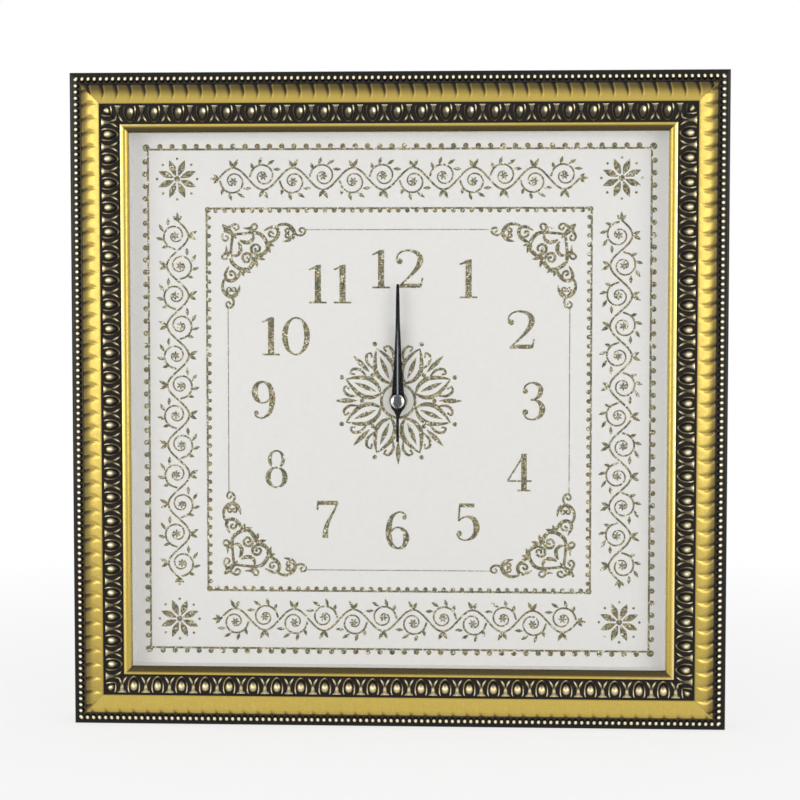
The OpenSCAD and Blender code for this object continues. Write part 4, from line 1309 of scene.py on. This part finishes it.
def blade(node, outline, thickness, body, material, rubbed_and_lit=0.0):
    """A hand with a ridge down its middle, through (z, half width) stations from tail to tip.

    Above the hub the ridge carries a painted highlight by the given share.
    """
    low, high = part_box(node)
    top = -low.y / MM
    base = top - thickness
    shape = Shape()
    rows = []
    for z, half in outline:
        ridge_highlight = rubbed_and_lit * ease(0.0, 4.0, z) * (1 - ease(35.0, 62.0, z))
        rows.append([
            shape.point(-half, z, base), shape.point(-half, z, base + 0.6 * thickness),
            shape.point(-0.3 * half, z, top, ridge_highlight), shape.point(0.3 * half, z, top, ridge_highlight),
            shape.point(half, z, base + 0.6 * thickness), shape.point(half, z, base)])
    shape.skin(rows, closed=True)
    shape.face(rows[0])
    shape.face(rows[-1])
    collet = -high.y / MM
    if base - collet > 0.05:
        bore, wide, start = 2.4, 3.2, base + 0.1
        rings = shape.lathe(((bore, start), (wide, start), (wide, collet), (bore, collet)), 32)
        shape.skin([rings[-1], rings[0]], closed=True)
    return shape.build(node + "_blade", (material,), body, "hand_black", (node,))


def tapered(stations, hub, steps=10):
    """Stations of a blade with a round hub, its widths drawn through a few given ones."""
    low, high = stations[0][0], stations[-1][0]
    heights = {low + (high - low) * i / 60 for i in range(61)}
    heights |= {hub * math.sin(i / steps * math.pi / 2) * sign
                for i in range(steps + 1) for sign in (-1, 1)}
    outline = []
    for z in sorted(heights):
        for (z0, w0), (z1, w1) in zip(stations, stations[1:]):
            if z0 <= z <= z1:
                half = lerp(w0, w1, (z - z0) / (z1 - z0)) / 2
                break
        round_half = math.sqrt(max(0.0, hub * hub - z * z))
        outline.append((z, max(half, round_half)))
    return outline


# Each hand's node and body, its widths at heights, hub radius, thickness and share of painted
# highlight.
HANDS = (
    ("hour_hand", "hours", (
        (-14.0, 1.8), (-12.8, 2.2), (-10.7, 3.4), (-7.5, 6.4), (-5.4, 10.2), (0.0, 11.4),
        (5.5, 9.6), (8.6, 8.9), (22.0, 6.6), (36.0, 5.2), (50.0, 4.0), (58.0, 3.3)),
     6.0, 0.6, 0.0),
    ("minute_hand", "minutes", (
        (-9.0, 2.0), (0.0, 4.6), (58.0, 3.3), (78.0, 2.8), (88.0, 2.3), (89.5, 1.5)),
     4.6, 0.6, 0.0),
    ("second_hand", "seconds", (
        (-31.0, 2.2), (-6.0, 2.2), (0.0, 1.5), (85.0, 1.3)), 3.0, 0.4, 0.75),
)


class CLOCK_OT_hands(bpy.types.Operator):
    """Make the three black hands and the cap over them"""

    bl_idname = "clock.hands"
    bl_label = "Hands"

    def execute(self, context):
        enamel = Finish("black_enamel")
        black = tuple(context.scene.clock_finish.hand_black)
        grain = enamel.grain(700.0, 0.16, 0.26)
        # Where the ridge's tone is high, a blue-grey painted highlight.
        rubbed_and_lit = enamel.graph.add("Attribute", attribute_name="patina").outputs["Fac"]
        tint = enamel.graph.blend(grain["Value"], shade(black, 0.7), shade(black, 1.4))
        enamel.set(
            Base_Color=enamel.graph.blend(rubbed_and_lit, tint, (0.42, 0.48, 0.54, 1.0)),
            Roughness=grain["Roughness"], Specular_IOR_Level=0.07,
            Normal=enamel.graph.bump(grain["Value"], 0.08, 0.00001))
        for node, body, stations, hub, thickness, ridge_highlight in HANDS:
            low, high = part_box(node)
            tail, tip = (low.z - AXIS_Z) / MM, (high.z - AXIS_Z) / MM
            stations = ((tail, stations[0][1]), *stations[1:-1], (tip, stations[-1][1]))
            blade(node, tapered(stations, hub), thickness, body, enamel.material, ridge_highlight)
        self.cap()
        return {"FINISHED"}

    def cap(self):
        low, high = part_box("second_hand_cap")
        radius, foot, top = (high.x - low.x) / 2 / MM, -high.y / MM, -low.y / MM
        rim, steps, sides = foot + 0.5, 12, 48
        profile = [(radius * 0.94, foot), (radius, foot + 0.15), (radius, rim)]
        for step in range(1, steps):
            across, up = polar(1.0, step / steps * math.pi / 2)
            profile.append((radius * across, lerp(rim, top, up)))
        shape = Shape()
        rings = shape.lathe(profile, sides)
        crown = shape.point(0, 0, top)
        for i in range(sides):
            shape.face((rings[-1][i], rings[-1][(i + 1) % sides], crown))
        shape.face(rings[0])
        shape.build("cap_dome", (polished_cap("polished_cap"),), "seconds", "cap_chrome",
                    ("second_hand_cap",))


# Parts that keep their CAD shape, with their finishes and small moulded marks.


class CLOCK_OT_glazing(bpy.types.Operator):
    """Finish the glass, the spacer strips, the dial sheet and its board"""

    bl_idname = "clock.glazing"
    bl_label = "Glazing and dial"

    def execute(self, context):
        scene = context.scene
        dress((
            (pane("picture_glass"), ("front_glass",)),
            (moulded("foam_strip", (0.83, 0.82, 0.79), 0.7, 0.9, 700.0, 0.0002, 0.05),
             ["spacer_" + side for side in SIDES]),
            (dial_paper(scene.clock_print), ("dial_sheet",)),
            (pressed_board(scene.clock_finish), ("dial_board",)),
        ))
        return {"FINISHED"}


class CLOCK_OT_hardware(bpy.types.Operator):
    """Finish the nails, tabs and hanger of the frame"""

    bl_idname = "clock.hardware"
    bl_label = "Frame hardware"

    def execute(self, context):
        dress((
            (zinc("zinc_spangle"), ("hanger_plate", "retaining_tabs")),
            (metal("dark_steel", (0.16, 0.155, 0.15), 0.3, 0.45),
             ("hanger_screws", "corner_nails")),
        ))
        return {"FINISHED"}


def raised_line(shape, knots, foot, rise, steps=6):
    """A moulded line on the case's back through (x, z, width) knots."""
    path = curve(knots, steps)
    rows = []
    for i, (x, z, width) in enumerate(path):
        tx, tz = heading(path, i)
        rows.append([
            shape.point(x - tz * width / 2 * offset, z + tx * width / 2 * offset,
                        foot - rise * lift)
            for offset, lift in ((-1, -0.2), (-0.8, 1), (0.8, 1), (1, -0.2))])
    shape.skin(rows, closed=True)
    shape.face(rows[0])
    shape.face(rows[-1])


class CLOCK_OT_movement(bpy.types.Operator):
    """Finish the movement and add the moulded marks of its case"""

    bl_idname = "clock.movement"
    bl_label = "Movement"

    def execute(self, context):
        black = tuple(context.scene.clock_finish.case_black)
        case = moulded("case_plastic", black, 0.38, 0.55, 1400.0, 0.00006)
        dress((
            (case, ("movement_front_case", "movement_back_case", "setting_knob")),
            (metal("brass", (0.72, 0.52, 0.20), 0.18, 0.32), ("threaded_bushing", "minute_pipe")),
            # Washer and nut darkened: aged brass, and painted shade under the hour hub.
            (metal("aged_shaded_brass", (0.34, 0.28, 0.17), 0.35, 0.5), ("bushing_washer", "bushing_nut")),
            (moulded("rubber", (0.018, 0.018, 0.018), 0.7, 0.85, 500.0), ("bushing_gasket",)),
            (metal("soft_iron", (0.42, 0.41, 0.40), 0.35, 0.55), ("stator", "coil_core")),
            (moulded("white_bobbin", (0.72, 0.71, 0.67), 0.35, 0.5, variation=0.06),
             ("coil_bobbin",)),
            (winding("copper_winding"), ("coil_winding",)),
            (laminate("circuit_laminate"), ("circuit_board",)),
            (moulded("chip_resin", (0.012, 0.012, 0.012), 0.4, 0.6), ("circuit_chip",)),
            (metal("nickel", (0.64, 0.62, 0.58), 0.2, 0.34, (0.2, 1.0, 1.0)),
             ("positive_contact", "negative_contact", "quartz_crystal", "clutch_washer")),
            (cell_sleeve("cell_sleeve"), ("dry_cell",)),
            (metal("magnet", (0.20, 0.20, 0.21), 0.4, 0.55), ("rotor_magnet",)),
            (moulded("gear_plastic", (0.70, 0.68, 0.62), 0.3, 0.45, variation=0.06),
             ("rotor_pinion", "step_wheel", "seconds_wheel", "third_wheel", "centre_wheel",
              "motion_wheel", "hour_wheel")),
        ))
        self.marks(black)
        return {"FINISHED"}

    def marks(self, black):
        """Turning arrows round the knob, signs by the cell and a blank label field."""
        low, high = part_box("movement_back_case")
        foot = -high.y / MM
        knob = JOINTS["setting_turn"]["pos_m"]
        x, z = knob[0] / MM, (knob[2] - AXIS_Z) / MM
        knob_low, knob_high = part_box("setting_knob")
        radius = (knob_high.x - knob_low.x) / 2 / MM + 1.2
        rise = 0.25
        shape = Shape()
        for middle in (math.pi / 2, -math.pi / 2):
            arc = [middle + (step / 8 - 0.5) * 1.5 for step in range(9)]
            raised_line(shape, [(*polar(radius, a, x, z), 0.7) for a in arc], foot, rise)
            tip = arc[-1]
            for barb in (-1.2, 1.2):
                raised_line(shape, [
                    (*polar(radius, tip, x, z), 0.7),
                    (*polar(radius + barb, tip - 0.16, x, z), 0.5)], foot, rise, 1)
        cell_low, cell_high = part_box("dry_cell")
        above = (cell_high.z - AXIS_Z) / MM + 4.0
        for sign_x, strokes in ((cell_high.x / MM - 4.0, 2), (cell_low.x / MM + 4.0, 1)):
            for dx, dz in ((1.6, 0.0), (0.0, 1.6))[:strokes]:
                raised_line(
                    shape, [(sign_x - dx, above - dz, 0.8), (sign_x + dx, above + dz, 0.8)],
                    foot, rise, 1)
        left, right = low.x / MM + 5.0, x - radius - 4.0
        bottom, top = above + 5.0, (high.z - AXIS_Z) / MM - 6.0
        corners = ((left, bottom), (right, bottom), (right, top), (left, top), (left, bottom))
        for start, end in zip(corners, corners[1:]):
            raised_line(shape, [(*start, 0.6), (*end, 0.6)], foot, 0.2, 1)
        grey = moulded("case_marks", shade(black, 11.0)[:3], 0.4, 0.55, 1400.0, 0.00004)
        shape.build("case_arrows", (grey,), CASE, "case_plastic")


# The stage, in metres from the middle of the dial.
LAMPS = {"left_lamp": (-1.35, -1.5, 0.15), "right_lamp": (1.35, -1.5, 0.15)}
LAMP_SIZE = 1.2
LENS_SHIFT = (0.0022, 0.0010)
FLOOR_HALF, FLOOR_GAP = 6.0, 0.0002


class CLOCK_OT_stage(bpy.types.Operator):
    """Set the floor, the soft light and the camera"""

    bl_idname = "clock.stage"
    bl_label = "Stage"

    def execute(self, context):
        settings = context.scene.clock_stage
        self.floor()
        self.sky(context.scene, settings.sky)
        middle = Vector((0.0, -DIAL_D * MM, AXIS_Z))
        for name, place in LAMPS.items():
            lamp = bpy.data.lights.new(name, "AREA")
            lamp.energy = settings.lamp_power
            lamp.size = LAMP_SIZE
            self.aim(name, lamp, middle + Vector(place), middle, context)
        camera = bpy.data.cameras.new("camera")
        camera.lens = settings.lens
        camera.sensor_width = 36.0
        camera.shift_x, camera.shift_y = LENS_SHIFT
        away = Vector((
            math.sin(settings.azimuth) * math.cos(settings.elevation),
            -math.cos(settings.azimuth) * math.cos(settings.elevation),
            math.sin(settings.elevation)))
        context.scene.camera = self.aim(
            "camera", camera, middle + away * settings.distance, middle, context)
        context.scene.view_settings.view_transform = "Standard"
        return {"FINISHED"}

    def aim(self, name, data, place, target, context):
        thing = bpy.data.objects.new(name, data)
        thing.location = place
        thing.rotation_euler = (target - place).to_track_quat("-Z", "Y").to_euler()
        context.scene.collection.objects.link(thing)
        return thing

    def floor(self):
        level = CAD_BOX[0].z - FLOOR_GAP
        mesh = bpy.data.meshes.new("floor")
        mesh.from_pydata(
            [(x * FLOOR_HALF, y * FLOOR_HALF, level)
             for x, y in ((-1, -1), (1, -1), (1, 1), (-1, 1))], [], [(0, 1, 2, 3)])
        finish = Finish("pale_floor")
        graph = finish.graph
        grain = finish.grain(30.0, 0.8, 0.95)
        finish.set(
            Base_Color=graph.blend(grain["Value"], (0.87, 0.87, 0.87, 1), (0.89, 0.89, 0.89, 1)),
            Roughness=grain["Roughness"], Specular_IOR_Level=0.1)
        radius = graph.add("VectorMath", {0: finish.place}, operation="LENGTH").outputs["Value"]
        far = graph.spread(radius, 0.75, 1.0, 0.45, 1.1)
        finish.cover(
            graph.math("MULTIPLY", graph.seen(), far), graph.add("Emission", {"Strength": 1.0}))
        mesh.materials.append(finish.material)
        ground = bpy.data.objects.new("floor", mesh)
        bpy.context.scene.collection.objects.link(ground)

    def sky(self, scene, strength):
        world = bpy.data.worlds.new("sky")
        world.use_nodes = True
        world.node_tree.nodes.clear()
        graph = Graph(world.node_tree)
        level = graph.spread(graph.seen(), strength, 1.0)
        back = graph.add("Background", {"Color": (1.0, 1.0, 1.0, 1.0), "Strength": level})
        graph.add("OutputWorld", {"Surface": back.outputs["Background"]})
        scene.world = world


class CLOCK_PT_panel(bpy.types.Panel):
    """Lists the steps that dress the clock"""

    bl_idname = "CLOCK_PT_panel"
    bl_label = "Picture wall clock"
    bl_space_type = "VIEW_3D"
    bl_region_type = "UI"
    bl_category = "Wall clock"

    def draw(self, context):
        for operator in OPERATORS:
            self.layout.operator(operator.bl_idname)
        for group in SETTINGS:
            box = self.layout.box()
            settings = getattr(context.scene, group)
            for key in settings.__annotations__:
                box.prop(settings, key)


OPERATORS = (
    CLOCK_OT_moulding, CLOCK_OT_border, CLOCK_OT_vines, CLOCK_OT_corners, CLOCK_OT_numerals,
    CLOCK_OT_rosette, CLOCK_OT_hands, CLOCK_OT_glazing, CLOCK_OT_hardware, CLOCK_OT_movement,
    CLOCK_OT_stage,
)
SETTINGS = {
    "clock_moulding": MouldingSettings,
    "clock_print": PrintSettings,
    "clock_finish": FinishSettings,
    "clock_stage": StageSettings,
}


def register():
    for item in (*SETTINGS.values(), *OPERATORS, CLOCK_PT_panel):
        bpy.utils.register_class(item)
    for name, group in SETTINGS.items():
        setattr(bpy.types.Scene, name, PointerProperty(type=group))


def unregister():
    for name in SETTINGS:
        delattr(bpy.types.Scene, name)
    for item in reversed((*SETTINGS.values(), *OPERATORS, CLOCK_PT_panel)):
        bpy.utils.unregister_class(item)


def main():
    register()
    for operator in OPERATORS:
        group, name = operator.bl_idname.split(".")
        getattr(getattr(bpy.ops, group), name)()


if __name__ == "__main__":
    main()
